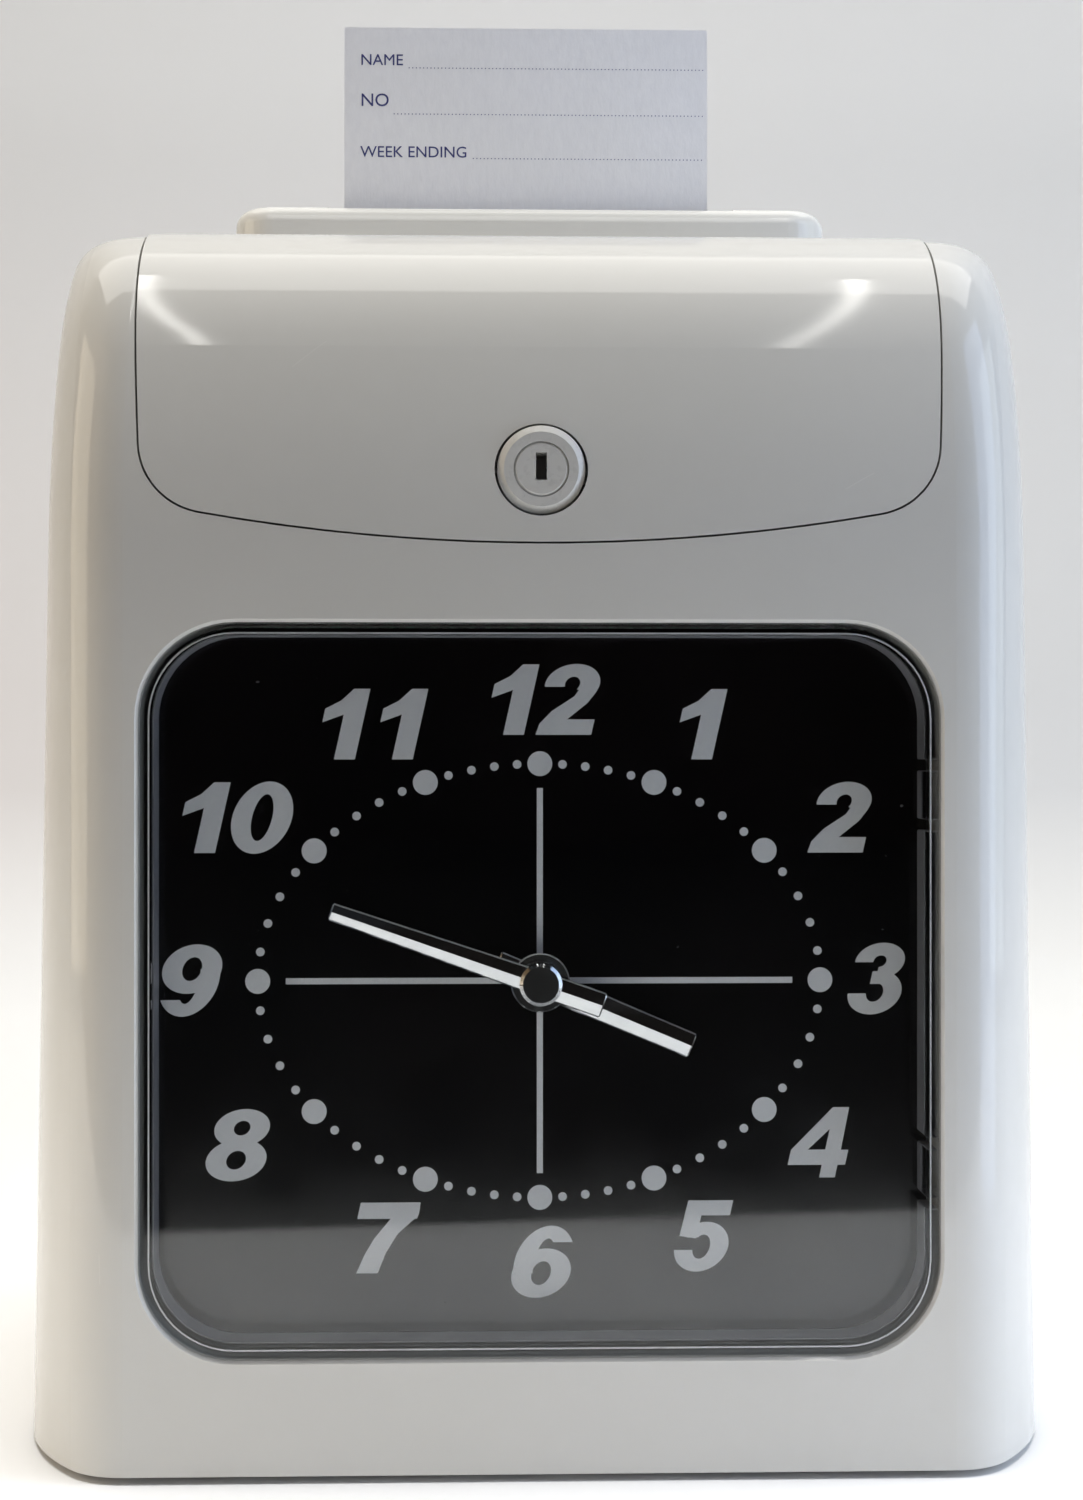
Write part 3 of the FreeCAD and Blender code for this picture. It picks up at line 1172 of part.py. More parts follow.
SPOOL_AT = ("42", "63")
cassette_box = box("cassette_box", ("-66", "66"), ("46", "84"), ("ribbon_low", "ribbon_high"))
room_high = ("ribbon_low+1.4", "ribbon_high-1.4")
cassette_room = box("cassette_room", ("-64.6", "64.6"), ("47.4", "82.6"), room_high)
cassette_hole = rod("cassette_hole", "Z", "3.4", (*SPOOL_AT, "ribbon_high-3"), "5")
cassette_arms = [
    box(f"cassette_arm_{side + 1}", tuple(sorted((str(side * 50), str(side * 58)), key=float)),
        ("76", "89.8"), ("rail_high+2", "ribbon_low"))
    for side in LEFT_RIGHT
]
cassette_tabs = [
    box(f"cassette_tab_{side + 1}", tuple(sorted((str(side * 66), str(side * 70)), key=float)),
        ("54", "74"), ("ribbon_low+1", "ribbon_low+3.5"))
    for side in LEFT_RIGHT
]
cassette_shell = cut("cassette_shell", cassette_box, cassette_room, cassette_hole)
node(fuse("cassette_whole", cassette_shell, *cassette_arms, *cassette_tabs), "ribbon_cassette")
node(box("ribbon_band", ("-50", "50"), ("89.5", "89.6"), ("rail_high+3", "rail_high+17")), "ink_ribbon")
spool_disc = rod("spool_disc", "Z", "14", (*SPOOL_AT, "ribbon_low+1.8"), "6.4")
spool_stem = rod("spool_stem", "Z", "3", (*SPOOL_AT, "ribbon_low+1.8"), "9.6")
knob_disc = rod("knob_disc", "Z", "7", (*SPOOL_AT, "ribbon_high+0.4"), "4.2")
knob_grip = box("knob_grip", ("40.9", "43.1"), ("56.8", "69.2"), ("ribbon_high+4.6", "ribbon_high+6.2"))
node(fuse("spool_whole", spool_disc, spool_stem, knob_disc, knob_grip), "ribbon_spool")


# ---------------------------------------------------------------- setting panel and electronics

BUTTONS = [10, 24, 38, 52]
panel_holes = [(str(x), "45", "button_round+0.3") for x in BUTTONS]
panel_outline = rectangle(("-61.5", "61.5"), ("28.6", "59.5"))
panel_body = plate("panel_sheet", "XY", panel_outline, "panel_high-3", "panel_high", panel_holes, "2")
panel_legs = [
    rod(f"panel_leg_{index}", "Z", "2", (x, y, "panel_high-11.4"), "9")
    for index, (x, y) in enumerate([(x, y) for x in ("-58", "58") for y in ("32", "56")])
]
panel_recess = box("panel_recess", ("-55", "-5"), ("34", "56"), ("panel_high-5", "panel_high+1"))
node(cut("panel_cut", fuse("panel_whole", panel_body, *panel_legs), panel_recess), "setting_panel")
node(box("readout_pane", ("-55", "-5"), ("34", "56"), ("panel_high-2.4", "panel_high-0.4")), "readout_window")
for index, x in enumerate(BUTTONS, start=1):
    stem = rod(f"button_stem_{index}", "Z", "button_round", (str(x), "45", "panel_high-3.4"), "5.9")
    flange = rod(f"button_flange_{index}", "Z", "button_round+1.2", (str(x), "45", "panel_high-4.6"), "1.2")
    node(fuse(f"button_whole_{index}", stem, flange), f"button_{index}")
panel_board = box("panel_board_sheet", ("-60", "60"), ("30", "58"), ("panel_high-13", "panel_high-11.4"))
switches = [
    box(f"switch_{index}", (f"{x}-3", f"{x}+3"), ("42", "48"), ("panel_high-11.4", "panel_high-6.4"))
    for index, x in enumerate(BUTTONS, start=1)
]
readout_module = box("readout_module", ("-54", "-6"), ("35", "55"), ("panel_high-11.4", "panel_high-2.4"))
node(fuse("panel_board_whole", panel_board, readout_module, *switches), "panel_board")

board_outline = rectangle(("-67", "67"), ("24", "168"))
board_holes = [(x, z, "1.6") for x in ("-63", "63") for z in ("30", "162")]
board = plate("board_sheet", "XZ", board_outline, "board_deep", "board_deep+1.6", board_holes, "2")
node(board, "main_board")
chips = [
    box(f"chip_{index}", (x0, x1), ("board_deep+1.6", f"board_deep+{high}"), (z0, z1))
    for index, (x0, x1, z0, z1, high) in enumerate([
        ("-40", "-16", "120", "144", "4.5"), ("2", "22", "124", "134", "4"), ("34", "46", "120", "128", "4"),
        ("-52", "-44", "80", "110", "9"), ("-30", "20", "40", "48", "9"), ("38", "58", "60", "80", "7"),
    ])
]
node(group("chips", *chips), "board_parts")
spacers = []
spacer_places = [(x, z) for x in ("-chassis_half+2", "chassis_half-2") for z in ("76", "160")]
for index, (x, z) in enumerate(spacer_places):
    spacers.append(rod(f"spacer_{index}", "Y", "3", (x, "board_deep+1.6", z), "chassis_front-board_deep-1.6"))
node(group("spacers", *spacers), "board_spacers")

core_box = box("transformer_core", ("-66", "-18"), ("84", "112"), ("foot_high+wall", "46"))
coil_box = box("transformer_coil", ("-58", "-26"), ("78", "118"), ("12", "38"))
node(fuse("transformer_whole", core_box, coil_box), "transformer")
cells = [
    rod(f"cell_{index}", "X", "7", ("-6", f"{84 + 14.2 * index}", "foot_high+wall+7"), "50")
    for index in range(3)
]
node(group("cells", *cells), "backup_battery")
inlet_block = box("inlet_block", ("58.6", "81.4"), ("116", "depth-1"), ("15.6", "26.4"))
inlet_socket = box("inlet_socket", ("61.5", "78.5"), ("122", "depth+1"), ("17.5", "24.5"))
inlet_pins = [rod(f"inlet_pin_{x}", "Y", "1.2", (x, "121", "21"), "9") for x in ("66", "74")]
node(fuse("inlet_whole", cut("inlet_cut", inlet_block, inlet_socket), *inlet_pins), "power_inlet")

feet = [
    rod(f"foot_{index}", "Z", "foot_round", (x, y, "0"), "foot_high")
    for index, (x, y) in enumerate([(x, y) for x in ("-80", "80") for y in ("24", "116")])
]
node(group("feet", *feet), "rubber_feet")
screws = []
for index, (x, z) in enumerate(REAR_SCREWS):
    shank = rod(f"screw_shank_{index}", "Y", "1.6", (str(x), "seam-15", str(z)), "depth-seam+11")
    head = rod(f"screw_head_{index}", "Y", "3.6", (str(x), "depth-4", str(z)), "2.6")
    cut_deep = ("depth-2.2", "depth")
    slot = box(f"screw_slot_{index}", (f"{x}-2.6", f"{x}+2.6"), cut_deep, (f"{z}-0.5", f"{z}+0.5"))
    cross = box(f"screw_cross_{index}", (f"{x}-0.5", f"{x}+0.5"), cut_deep, (f"{z}-2.6", f"{z}+2.6"))
    screws.append(cut(f"screw_{index}", fuse(f"screw_blank_{index}", shank, head), slot, cross))
node(group("screws", *screws), "case_screws")

doc.recompute()
for thing in doc.Objects:
    if any(word in thing.State for word in ("Invalid", "Error")):
        raise SystemExit(f"{thing.Label} failed: {thing.State}")
for thing in NODES:
    if thing.Shape.isNull() or not thing.Shape.isValid():
        raise SystemExit(f"{thing.Label} has no valid shape")
os.makedirs("parts", exist_ok=True)
for thing in NODES:
    thing.Shape.exportStep(f"parts/{thing.Label}.step")
    span = thing.Shape.BoundBox
    middle = D.depth / 2
    print(f"{thing.Label}: {len(thing.Shape.Solids)} solids, {thing.Shape.Volume:.0f} mm3,", end=" ")
    print(f"X {span.XMin:.1f} {span.XMax:.1f}", end=" ")
    print(f"Y {span.YMin + middle:.1f} {span.YMax + middle:.1f}", end=" ")
    print(f"Z {span.ZMin:.1f} {span.ZMax:.1f}")
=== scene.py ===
"""Looks for a punch time clock.

A moulded case has a clear window over a dial, a lockable top lid and a slot for a time card.
"""
import json
import math

import bmesh
import bpy
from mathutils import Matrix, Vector


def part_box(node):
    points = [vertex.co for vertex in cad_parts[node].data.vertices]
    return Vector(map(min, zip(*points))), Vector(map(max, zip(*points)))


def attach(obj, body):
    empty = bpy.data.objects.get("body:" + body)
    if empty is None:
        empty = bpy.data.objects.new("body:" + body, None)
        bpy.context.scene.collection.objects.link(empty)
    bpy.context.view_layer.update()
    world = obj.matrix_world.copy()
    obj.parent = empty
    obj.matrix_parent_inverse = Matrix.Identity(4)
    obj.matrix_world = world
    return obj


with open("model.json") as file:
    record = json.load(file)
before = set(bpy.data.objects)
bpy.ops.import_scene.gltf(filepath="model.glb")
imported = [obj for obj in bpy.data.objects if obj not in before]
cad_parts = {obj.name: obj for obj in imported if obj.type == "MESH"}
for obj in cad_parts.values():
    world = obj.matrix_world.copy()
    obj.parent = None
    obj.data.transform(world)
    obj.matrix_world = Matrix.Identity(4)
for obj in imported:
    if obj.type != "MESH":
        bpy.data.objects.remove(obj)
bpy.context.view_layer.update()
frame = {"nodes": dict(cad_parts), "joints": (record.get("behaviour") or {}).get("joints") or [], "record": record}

nodes = frame["nodes"]
front_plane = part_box("front_case")[0].y
camera_high = 0.1405
camera_aside = -0.0117
camera_off = 0.420


# ---------------------------------------------------------------- camera

camera_data = bpy.data.cameras.new("camera")
camera_data.sensor_fit = "AUTO"
camera_data.sensor_width = 36.0
camera_data.lens = 52.54
camera_data.clip_start = 0.01
camera_data.clip_end = 20.0
camera = bpy.data.objects.new("camera", camera_data)
bpy.context.scene.collection.objects.link(camera)
bpy.context.scene.camera = camera
camera.location = Vector((camera_aside, front_plane - camera_off, camera_high))
camera_aim = Vector((0.0, front_plane, camera_high))
camera.rotation_euler = (camera_aim - camera.location).to_track_quat("-Z", "Y").to_euler()


# ---------------------------------------------------------------- shader helpers


# A wave texture of scale 1 has one ring in this many metres.
RINGS_PER_METRE = 0.314


class Shader:
    """One procedural material: its node tree and the few calls used to fill it."""

    def __init__(self, name):
        self.material = bpy.data.materials.new(name)
        self.material.use_nodes = True
        self.tree = self.material.node_tree
        self.tree.nodes.clear()
        self.output = self.add("ShaderNodeOutputMaterial")
        self.body = self.add("ShaderNodeBsdfPrincipled")
        self.link(self.body.outputs["BSDF"], self.output.inputs["Surface"])
        self.place = self.add("ShaderNodeTexCoord").outputs["Object"]

    def add(self, kind, **settings):
        node = self.tree.nodes.new(kind)
        for key, value in settings.items():
            setattr(node, key, value)
        return node

    def link(self, source, target):
        self.tree.links.new(source, target)

    def set(self, **values):
        for key, value in values.items():
            self.body.inputs[key.replace("_", " ")].default_value = value

    def stretched(self, scale=(1, 1, 1), turn=(0, 0, 0)):
        """The object's own coordinates, scaled and turned."""
        mapping = self.add("ShaderNodeMapping")
        mapping.inputs["Scale"].default_value = scale
        mapping.inputs["Rotation"].default_value = turn
        self.link(self.place, mapping.inputs["Vector"])
        return mapping.outputs["Vector"]

    def noise(self, scale, detail=2.0, roughness=0.5, where=None):
        node = self.add("ShaderNodeTexNoise")
        node.inputs["Scale"].default_value = scale
        node.inputs["Detail"].default_value = detail
        node.inputs["Roughness"].default_value = roughness
        self.link(where or self.place, node.inputs["Vector"])
        return node.outputs["Fac"]

    def ramp(self, value, low, high, to_low=0.0, to_high=1.0):
        """The value between low and high, spread over to_low to to_high."""
        node = self.add("ShaderNodeMapRange")
        node.inputs["From Min"].default_value = low
        node.inputs["From Max"].default_value = high
        node.inputs["To Min"].default_value = to_low
        node.inputs["To Max"].default_value = to_high
        self.link(value, node.inputs["Value"])
        return node.outputs["Result"]

    def maths(self, operation, first, second):
        node = self.add("ShaderNodeMath", operation=operation)
        for socket, value in zip(node.inputs, (first, second)):
            if isinstance(value, (int, float)):
                socket.default_value = value
            else:
                self.link(value, socket)
        return node.outputs[0]

    def colours(self, share, first, second):
        """first where share is 0, second where it is 1. Either may be a colour or a socket."""
        node = self.add("ShaderNodeMix", data_type="RGBA")
        self.link(share, node.inputs["Factor"])
        for socket, value in ((node.inputs[6], first), (node.inputs[7], second)):
            if isinstance(value, tuple):
                socket.default_value = (*value, 1.0)
            else:
                self.link(value, socket)
        return node.outputs[2]

    def paint(self, colour):
        self.link(colour, self.body.inputs["Base Color"])

    def rough(self, value):
        self.link(value, self.body.inputs["Roughness"])

    def bump(self, height, distance, strength=1.0):
        """A bump of that height in metres. Several calls add up."""
        node = self.add("ShaderNodeBump")
        node.inputs["Distance"].default_value = distance
        node.inputs["Strength"].default_value = strength
        self.link(height, node.inputs["Height"])
        earlier = self.body.inputs["Normal"].links
        if earlier:
            self.link(earlier[0].from_socket, node.inputs["Normal"])
        self.link(node.outputs["Normal"], self.body.inputs["Normal"])

    def wipe_marks(self, centre, spacing, share):
        """0 to 1: hairline arcs round a far centre, as a cloth leaves them, in a few patches."""
        shift = self.add("ShaderNodeVectorMath", operation="SUBTRACT")
        self.link(self.place, shift.inputs[0])
        shift.inputs[1].default_value = centre
        rings = self.add("ShaderNodeTexWave", wave_type="RINGS", rings_direction="SPHERICAL")
        rings.inputs["Scale"].default_value = RINGS_PER_METRE / spacing
        rings.inputs["Distortion"].default_value = 6.0
        rings.inputs["Detail"].default_value = 1.0
        rings.inputs["Detail Scale"].default_value = 0.05
        self.link(shift.outputs["Vector"], rings.inputs["Vector"])
        line = self.ramp(rings.outputs["Fac"], 0.994, 1.0)
        patches = self.ramp(self.noise(34.0, 2.0), 1.0 - share, 1.04 - share)
        return self.maths("MULTIPLY", line, patches)


def grey(value):
    return (value, value, value)


# ---------------------------------------------------------------- materials


def case_plastic():
    """Off-white glossy ABS with a faint orange peel, faint yellowing and hairline scratches."""
    s = Shader("case_plastic")
    tint = s.ramp(s.noise(9.0, 3.0), 0.35, 0.65)
    fine = s.ramp(s.noise(220.0, 2.0), 0.3, 0.7)
    base = s.colours(tint, (0.735, 0.725, 0.690), (0.765, 0.755, 0.728))
    base = s.colours(s.maths("MULTIPLY", fine, 0.12), base, (0.70, 0.69, 0.65))
    s.paint(base)
    marks = s.wipe_marks((0.16, -0.3, 0.05), 0.006, 0.36)
    haze = s.ramp(s.noise(24.0, 4.0), 0.3, 0.7, 0.045, 0.075)
    s.rough(s.maths("ADD", haze, s.maths("MULTIPLY", marks, 0.3)))
    s.bump(s.noise(420.0, 1.0), 0.0000012)
    s.bump(s.noise(50.0, 1.0), 0.000008)
    s.set(IOR=1.53, Specular_IOR_Level=0.5)
    return s.material


def clear_cover():
    """Polished clear polycarbonate, with mirror reflections that grow towards a grazing view."""
    s = Shader("clear_cover")
    tint = s.ramp(s.noise(30.0, 2.0), 0.4, 0.6)
    s.paint(s.colours(tint, (0.90, 0.91, 0.92), (0.96, 0.97, 0.97)))
    smear = s.ramp(s.noise(18.0, 4.0), 0.35, 0.7, 0.015, 0.06)
    marks = s.wipe_marks((-0.2, -0.1, 0.3), 0.008, 0.30)
    s.rough(s.maths("ADD", smear, s.maths("MULTIPLY", marks, 0.2)))
    s.bump(s.noise(14.0, 1.0), 0.00003)
    s.set(Metallic=1.0)
    clear = s.add("ShaderNodeBsdfTransparent")
    clear.inputs["Color"].default_value = (0.93, 0.94, 0.945, 1.0)
    facing = s.add("ShaderNodeLayerWeight")
    facing.inputs["Blend"].default_value = 0.5
    share = s.ramp(s.maths("POWER", facing.outputs["Facing"], 5.0), 0.0, 1.0, 0.045, 1.0)
    mix = s.add("ShaderNodeMixShader")
    s.link(share, mix.inputs["Fac"])
    s.link(clear.outputs["BSDF"], mix.inputs[1])
    s.link(s.body.outputs["BSDF"], mix.inputs[2])
    s.link(mix.outputs["Shader"], s.output.inputs["Surface"])
    return s.material


def dial_black():
    """Near-black lacquer with a trace of dust."""
    s = Shader("dial_black")
    cloud = s.ramp(s.noise(22.0, 3.0), 0.35, 0.65)
    base = s.colours(cloud, (0.0012, 0.0013, 0.0022), (0.0035, 0.0025, 0.0032))
    dust = s.ramp(s.noise(900.0, 0.0), 0.93, 0.95)
    s.paint(s.colours(dust, base, (0.20, 0.20, 0.20)))
    s.rough(s.ramp(s.noise(60.0, 2.0), 0.3, 0.7, 0.12, 0.20))
    s.bump(s.noise(1400.0, 1.0), 0.000006)
    return s.material


def dial_print():
    """Grey screen-printed ink with the grain of the mesh it was pressed through."""
    s = Shader("dial_print")
    grain = s.ramp(s.noise(1500.0, 2.0), 0.3, 0.7)
    wide = s.ramp(s.noise(90.0, 2.0), 0.3, 0.7)
    base = s.colours(grain, (0.90, 0.90, 0.91), (0.96, 0.96, 0.965))
    s.paint(s.colours(s.maths("MULTIPLY", wide, 0.25), base, (0.84, 0.84, 0.86)))
    s.rough(s.ramp(grain, 0.0, 1.0, 0.5, 0.7))
    s.bump(grain, 0.00001)
    return s.material


def hand_chrome():
    """Bright plating, very slightly rippled."""
    s = Shader("hand_chrome")
    tint = s.ramp(s.noise(120.0, 3.0), 0.35, 0.65)
    s.paint(s.colours(tint, (0.80, 0.80, 0.81), (0.88, 0.88, 0.88)))
    s.rough(s.ramp(s.noise(300.0, 3.0), 0.3, 0.7, 0.05, 0.13))
    s.bump(s.noise(260.0, 1.0), 0.00002)
    s.set(Metallic=1.0)
    return s.material


def lock_finish():
    """Satin off-white enamel on the lock's ring and barrel, with light key wear."""
    s = Shader("lock_finish")
    wear = s.ramp(s.noise(420.0, 3.0), 0.55, 0.72)
    tint = s.ramp(s.noise(150.0, 2.0), 0.3, 0.7)
    base = s.colours(tint, (0.70, 0.69, 0.66), (0.76, 0.75, 0.72))
    s.paint(s.colours(s.maths("MULTIPLY", wear, 0.4), base, (0.50, 0.49, 0.47)))
    s.rough(s.ramp(s.noise(350.0, 2.0), 0.3, 0.7, 0.24, 0.36))
    s.bump(s.noise(900.0, 2.0), 0.000012)
    return s.material


def metal(name, dark, light, low, high, stretch, turn=(0, 0, 0), depth=0.00001):
    """A metal drawn, turned or plated: its streaks run along the axis whose stretch is smallest."""
    s = Shader(name)
    streaks = s.noise(900.0, 2.0, 0.5, s.stretched(stretch, turn))
    cloud = s.ramp(s.noise(45.0, 3.0), 0.35, 0.65)
    half_streaks = s.maths("MULTIPLY", streaks, 0.5)
    half_cloud = s.maths("MULTIPLY", cloud, 0.5)
    s.paint(s.colours(s.maths("ADD", half_streaks, half_cloud), dark, light))
    s.rough(s.ramp(streaks, 0.3, 0.7, low, high))
    s.bump(streaks, depth)
    s.set(Metallic=1.0)
    return s.material


def moulded(name, dark, light, low=0.38, high=0.52, grain=1100.0, depth=0.00003):
    """A moulded plastic or rubber with a fine spark-eroded grain."""
    s = Shader(name)
    cloud = s.ramp(s.noise(35.0, 3.0), 0.35, 0.65)
    s.paint(s.colours(cloud, dark, light))
    s.rough(s.ramp(s.noise(160.0, 3.0), 0.3, 0.7, low, high))
    s.bump(s.noise(grain, 2.0), depth)
    return s.material


def card_paper():
    """Pale lavender card with paper fibres and slightly soiled patches."""
    s = Shader("card_paper")
    fibre = s.ramp(s.noise(800.0, 4.0, 0.7, s.stretched((1.0, 1.0, 0.35))), 0.3, 0.7)
    patch = s.ramp(s.noise(28.0, 3.0), 0.35, 0.65)
    base = s.colours(fibre, (0.87, 0.87, 0.91), (0.93, 0.93, 0.96))
    s.paint(s.colours(s.maths("MULTIPLY", patch, 0.35), base, (0.85, 0.85, 0.87)))
    s.rough(s.ramp(fibre, 0.0, 1.0, 0.72, 0.9))
    s.bump(fibre, 0.00003)
    return s.material


def card_ink():
    """Navy printing ink, uneven where the card's fibres took less of it."""
    s = Shader("card_ink")
    grain = s.ramp(s.noise(1600.0, 3.0), 0.3, 0.7)
    s.paint(s.colours(grain, (0.035, 0.045, 0.22), (0.085, 0.095, 0.30)))
    s.rough(s.ramp(grain, 0.0, 1.0, 0.6, 0.8))
    s.bump(grain, 0.00001)
    return s.material


def ribbon_cloth():
    """Inked woven nylon."""
    s = Shader("ribbon")
    weave = s.add("ShaderNodeTexChecker")
    weave.inputs["Scale"].default_value = 4000.0
    s.link(s.place, weave.inputs["Vector"])
    s.paint(s.colours(weave.outputs["Fac"], (0.020, 0.014, 0.050), (0.045, 0.030, 0.095)))
    s.rough(s.ramp(s.noise(600.0, 2.0), 0.3, 0.7, 0.6, 0.85))
    s.bump(weave.outputs["Fac"], 0.00003)
    return s.material


def board_mask():
    """Green solder mask over copper tracks that show as a slightly lighter net."""
    s = Shader("board")
    cells = s.add("ShaderNodeTexVoronoi", feature="DISTANCE_TO_EDGE", distance="MANHATTAN")
    cells.inputs["Scale"].default_value = 220.0
    s.link(s.place, cells.inputs["Vector"])
    track = s.ramp(cells.outputs["Distance"], 0.05, 0.09, 1.0, 0.0)
    s.paint(s.colours(track, (0.012, 0.105, 0.045), (0.03, 0.20, 0.085)))
    s.rough(s.ramp(s.noise(200.0, 2.0), 0.3, 0.7, 0.22, 0.36))
    s.bump(track, 0.00003)
    return s.material


def laminations():
    """Varnished transformer laminations, stacked front to back."""
    s = Shader("laminate")
    wave = s.add("ShaderNodeTexWave", bands_direction="Y")
    wave.inputs["Scale"].default_value = 600.0
    wave.inputs["Distortion"].default_value = 0.4
    s.link(s.place, wave.inputs["Vector"])
    s.paint(s.colours(wave.outputs["Fac"], (0.035, 0.033, 0.033), (0.15, 0.145, 0.14)))
    s.rough(s.ramp(s.noise(200.0, 3.0), 0.3, 0.7, 0.35, 0.5))
    s.bump(wave.outputs["Fac"], 0.00008)
    s.set(Metallic=0.6)
    return s.material


def readout_film():
    """A grey-green display window, glossy, with a faint grid of segments under it."""
    s = Shader("readout")
    grid = s.add("ShaderNodeTexBrick")
    grid.inputs["Scale"].default_value = 260.0
    grid.inputs["Mortar Size"].default_value = 0.05
    s.link(s.place, grid.inputs["Vector"])
    faint = s.maths("MULTIPLY", grid.outputs["Fac"], 0.3)
    s.paint(s.colours(faint, (0.20, 0.235, 0.175), (0.15, 0.18, 0.13)))
    s.rough(s.ramp(s.noise(90.0, 2.0), 0.3, 0.7, 0.06, 0.14))
    s.bump(s.noise(60.0, 1.0), 0.00002)
    return s.material


finishes = {
    "case_plastic": case_plastic(),
    "clear_cover": clear_cover(),
    "dial_black": dial_black(),
    "dial_print": dial_print(),
    "hand_chrome": hand_chrome(),
    "lock_finish": lock_finish(),
    "steel": metal("steel", (0.44, 0.45, 0.47), (0.58, 0.59, 0.61), 0.24, 0.40, (1, 1, 0.05)),
    "turned_steel": metal(
        "turned_steel", (0.50, 0.50, 0.51), (0.66, 0.66, 0.67), 0.16, 0.30, (0.05, 1, 1),
    ),
    "brass": metal("brass", (0.52, 0.36, 0.12), (0.68, 0.49, 0.20), 0.18, 0.34, (1, 0.05, 1)),
    "rubber": moulded("rubber", grey(0.018), grey(0.034), 0.65, 0.85, 700.0, 0.00006),
    "card_paper": card_paper(),
    "black_plastic": moulded("black_plastic", grey(0.014), grey(0.024)),
    "grey_plastic": moulded("grey_plastic", (0.13, 0.135, 0.145), (0.165, 0.17, 0.18)),
    "ribbon": ribbon_cloth(),
    "board": board_mask(),
    "laminate": laminations(),
    "battery_wrap": moulded(
        "battery_wrap", (0.020, 0.085, 0.28), (0.035, 0.12, 0.36), 0.18, 0.30, 300.0, 0.00003,
    ),
    "readout": readout_film(),
    "button_plastic": moulded(
        "button_plastic", (0.055, 0.058, 0.066), (0.075, 0.078, 0.088), 0.32, 0.45,
    ),
}
ink = card_ink()

slot_names = [entry["slot"] for entry in frame["record"]["materials"]]
for node in nodes.values():
    for place in node.material_slots:
        own = place.material.name.split(".")[0]
        match = [name for name in slot_names if name == own or name in own]
        if match:
            place.material = finishes[max(match, key=len)]
        else:
            print("no finish for", node.name, own)


# ---------------------------------------------------------------- lining of the window cover, and its bead with a painted highlight


def sheet_of(name, faces_of, material, body):
    """A mesh piece built by faces_of(bm), with its finish, riding on body."""
    mesh = bpy.data.meshes.new(name)
    build = bmesh.new()
    faces_of(build)
    build.normal_update()
    build.to_mesh(mesh)
    build.free()
    piece = bpy.data.objects.new(name, mesh)
    bpy.context.scene.collection.objects.link(piece)
    mesh.materials.append(material)
    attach(piece, body)


cover_low, cover_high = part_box("window_cover")
cover_front = cover_low.y
cover_corner = 0.0182
cover_wall = 0.0019
hub_high = next(joint for joint in frame["joints"] if joint["name"] == "minute_turn")["pos_m"][2]
clip_from_hub = 0.0367
clip_half = 0.0046
clip_slot = 0.0025
corner_steps = 12
# The lining's depths behind the cover's front, its thickness and its gap to the wall.
skirt_from, skirt_on_clip, skirt_to = 0.0050, 0.0080, 0.0118
skirt_thick = 0.00015
skin_gap = 0.00002
slot_from = 0.0026
slot_skin = 0.00012
slot_inset = 0.00005
bead_outer, bead_inner, bead_deep = 0.00165, 0.00195, 0.0003


def rounded_path(inset):
    """Points round the cover's outline, inset by that much, from its low right corner upwards."""
    radius = cover_corner - inset
    left, right = cover_low.x + inset, cover_high.x - inset
    low, high = cover_low.z + inset, cover_high.z - inset
    centres = ((right - radius, low + radius), (right - radius, high - radius))
    centres += ((left + radius, high - radius), (left + radius, low + radius))
    points = []
    for number, (x, z) in enumerate(centres):
        for step in range(corner_steps + 1):
            angle = math.radians(90 * (number - 1) + 90 * step / corner_steps)
            points.append((x + radius * math.cos(angle), z + radius * math.sin(angle)))
    return points


def band(build, outer, inner, near, far, closed):
    """A strip between two matching paths and between two depths behind the cover's front."""
    rows = []
    for (outer_x, outer_z), (inner_x, inner_z) in zip(outer, inner):
        ring = ((outer_x, near, outer_z), (inner_x, near, inner_z))
        ring += ((inner_x, far, inner_z), (outer_x, far, outer_z))
        rows.append([build.verts.new((x, cover_front + y, z)) for x, y, z in ring])
    following = rows[1:] + rows[:1] if closed else rows[1:]
    for first, second in zip(rows, following):
        for corner in range(4):
            after = (corner + 1) % 4
            build.faces.new((first[corner], second[corner], second[after], first[after]))
    if not closed:
        build.faces.new(rows[0])
        build.faces.new(rows[-1][::-1])


def frosted_skirt(build):
    """A frosted lining inside the cover's side wall, open beside the two clips; their slots have skins."""
    inset = cover_wall + skin_gap
    paths = (rounded_path(inset), rounded_path(inset + skirt_thick))
    upper_right = corner_steps + 1
    below, above = hub_high - clip_from_hub, hub_high + clip_from_hub
    edge = clip_half + clip_slot
    long_way = []
    for path in paths:
        top_right = [(path[upper_right][0], above + edge)]
        bottom_right = [(path[upper_right][0], below - edge)]
        long_way.append(top_right + path[upper_right:] + path[:upper_right] + bottom_right)
    band(build, *long_way, skirt_from, skirt_to, False)
    for low, high, near in (
        (below + edge, above - edge, skirt_from),
        (below - clip_half, below + clip_half, skirt_on_clip),
        (above - clip_half, above + clip_half, skirt_on_clip),
    ):
        sides = [[(path[upper_right][0], z) for z in (low, high)] for path in paths]
        band(build, *sides, near, skirt_to, False)
    slot_sides = (cover_high.x - slot_inset, cover_high.x - cover_wall)
    for middle in (below, above):
        for way in (-1, 1):
            for edge_at, inward in ((clip_half, 1), (edge, -1)):
                start = middle + way * (edge_at + inward * skin_gap)
                stop = start + way * inward * slot_skin
                low, high = sorted((start, stop))
                sides = [[(x, low), (x, high)] for x in slot_sides]
                band(build, *sides, slot_from, skirt_to, False)


def cover_bead(build):
    """A fine bead round the cover just inside its bevel; its pale finish is a painted highlight, the bright line
    along the clear moulding's edge.
    """
    band(build, rounded_path(bead_outer), rounded_path(bead_inner), skin_gap, bead_deep, True)


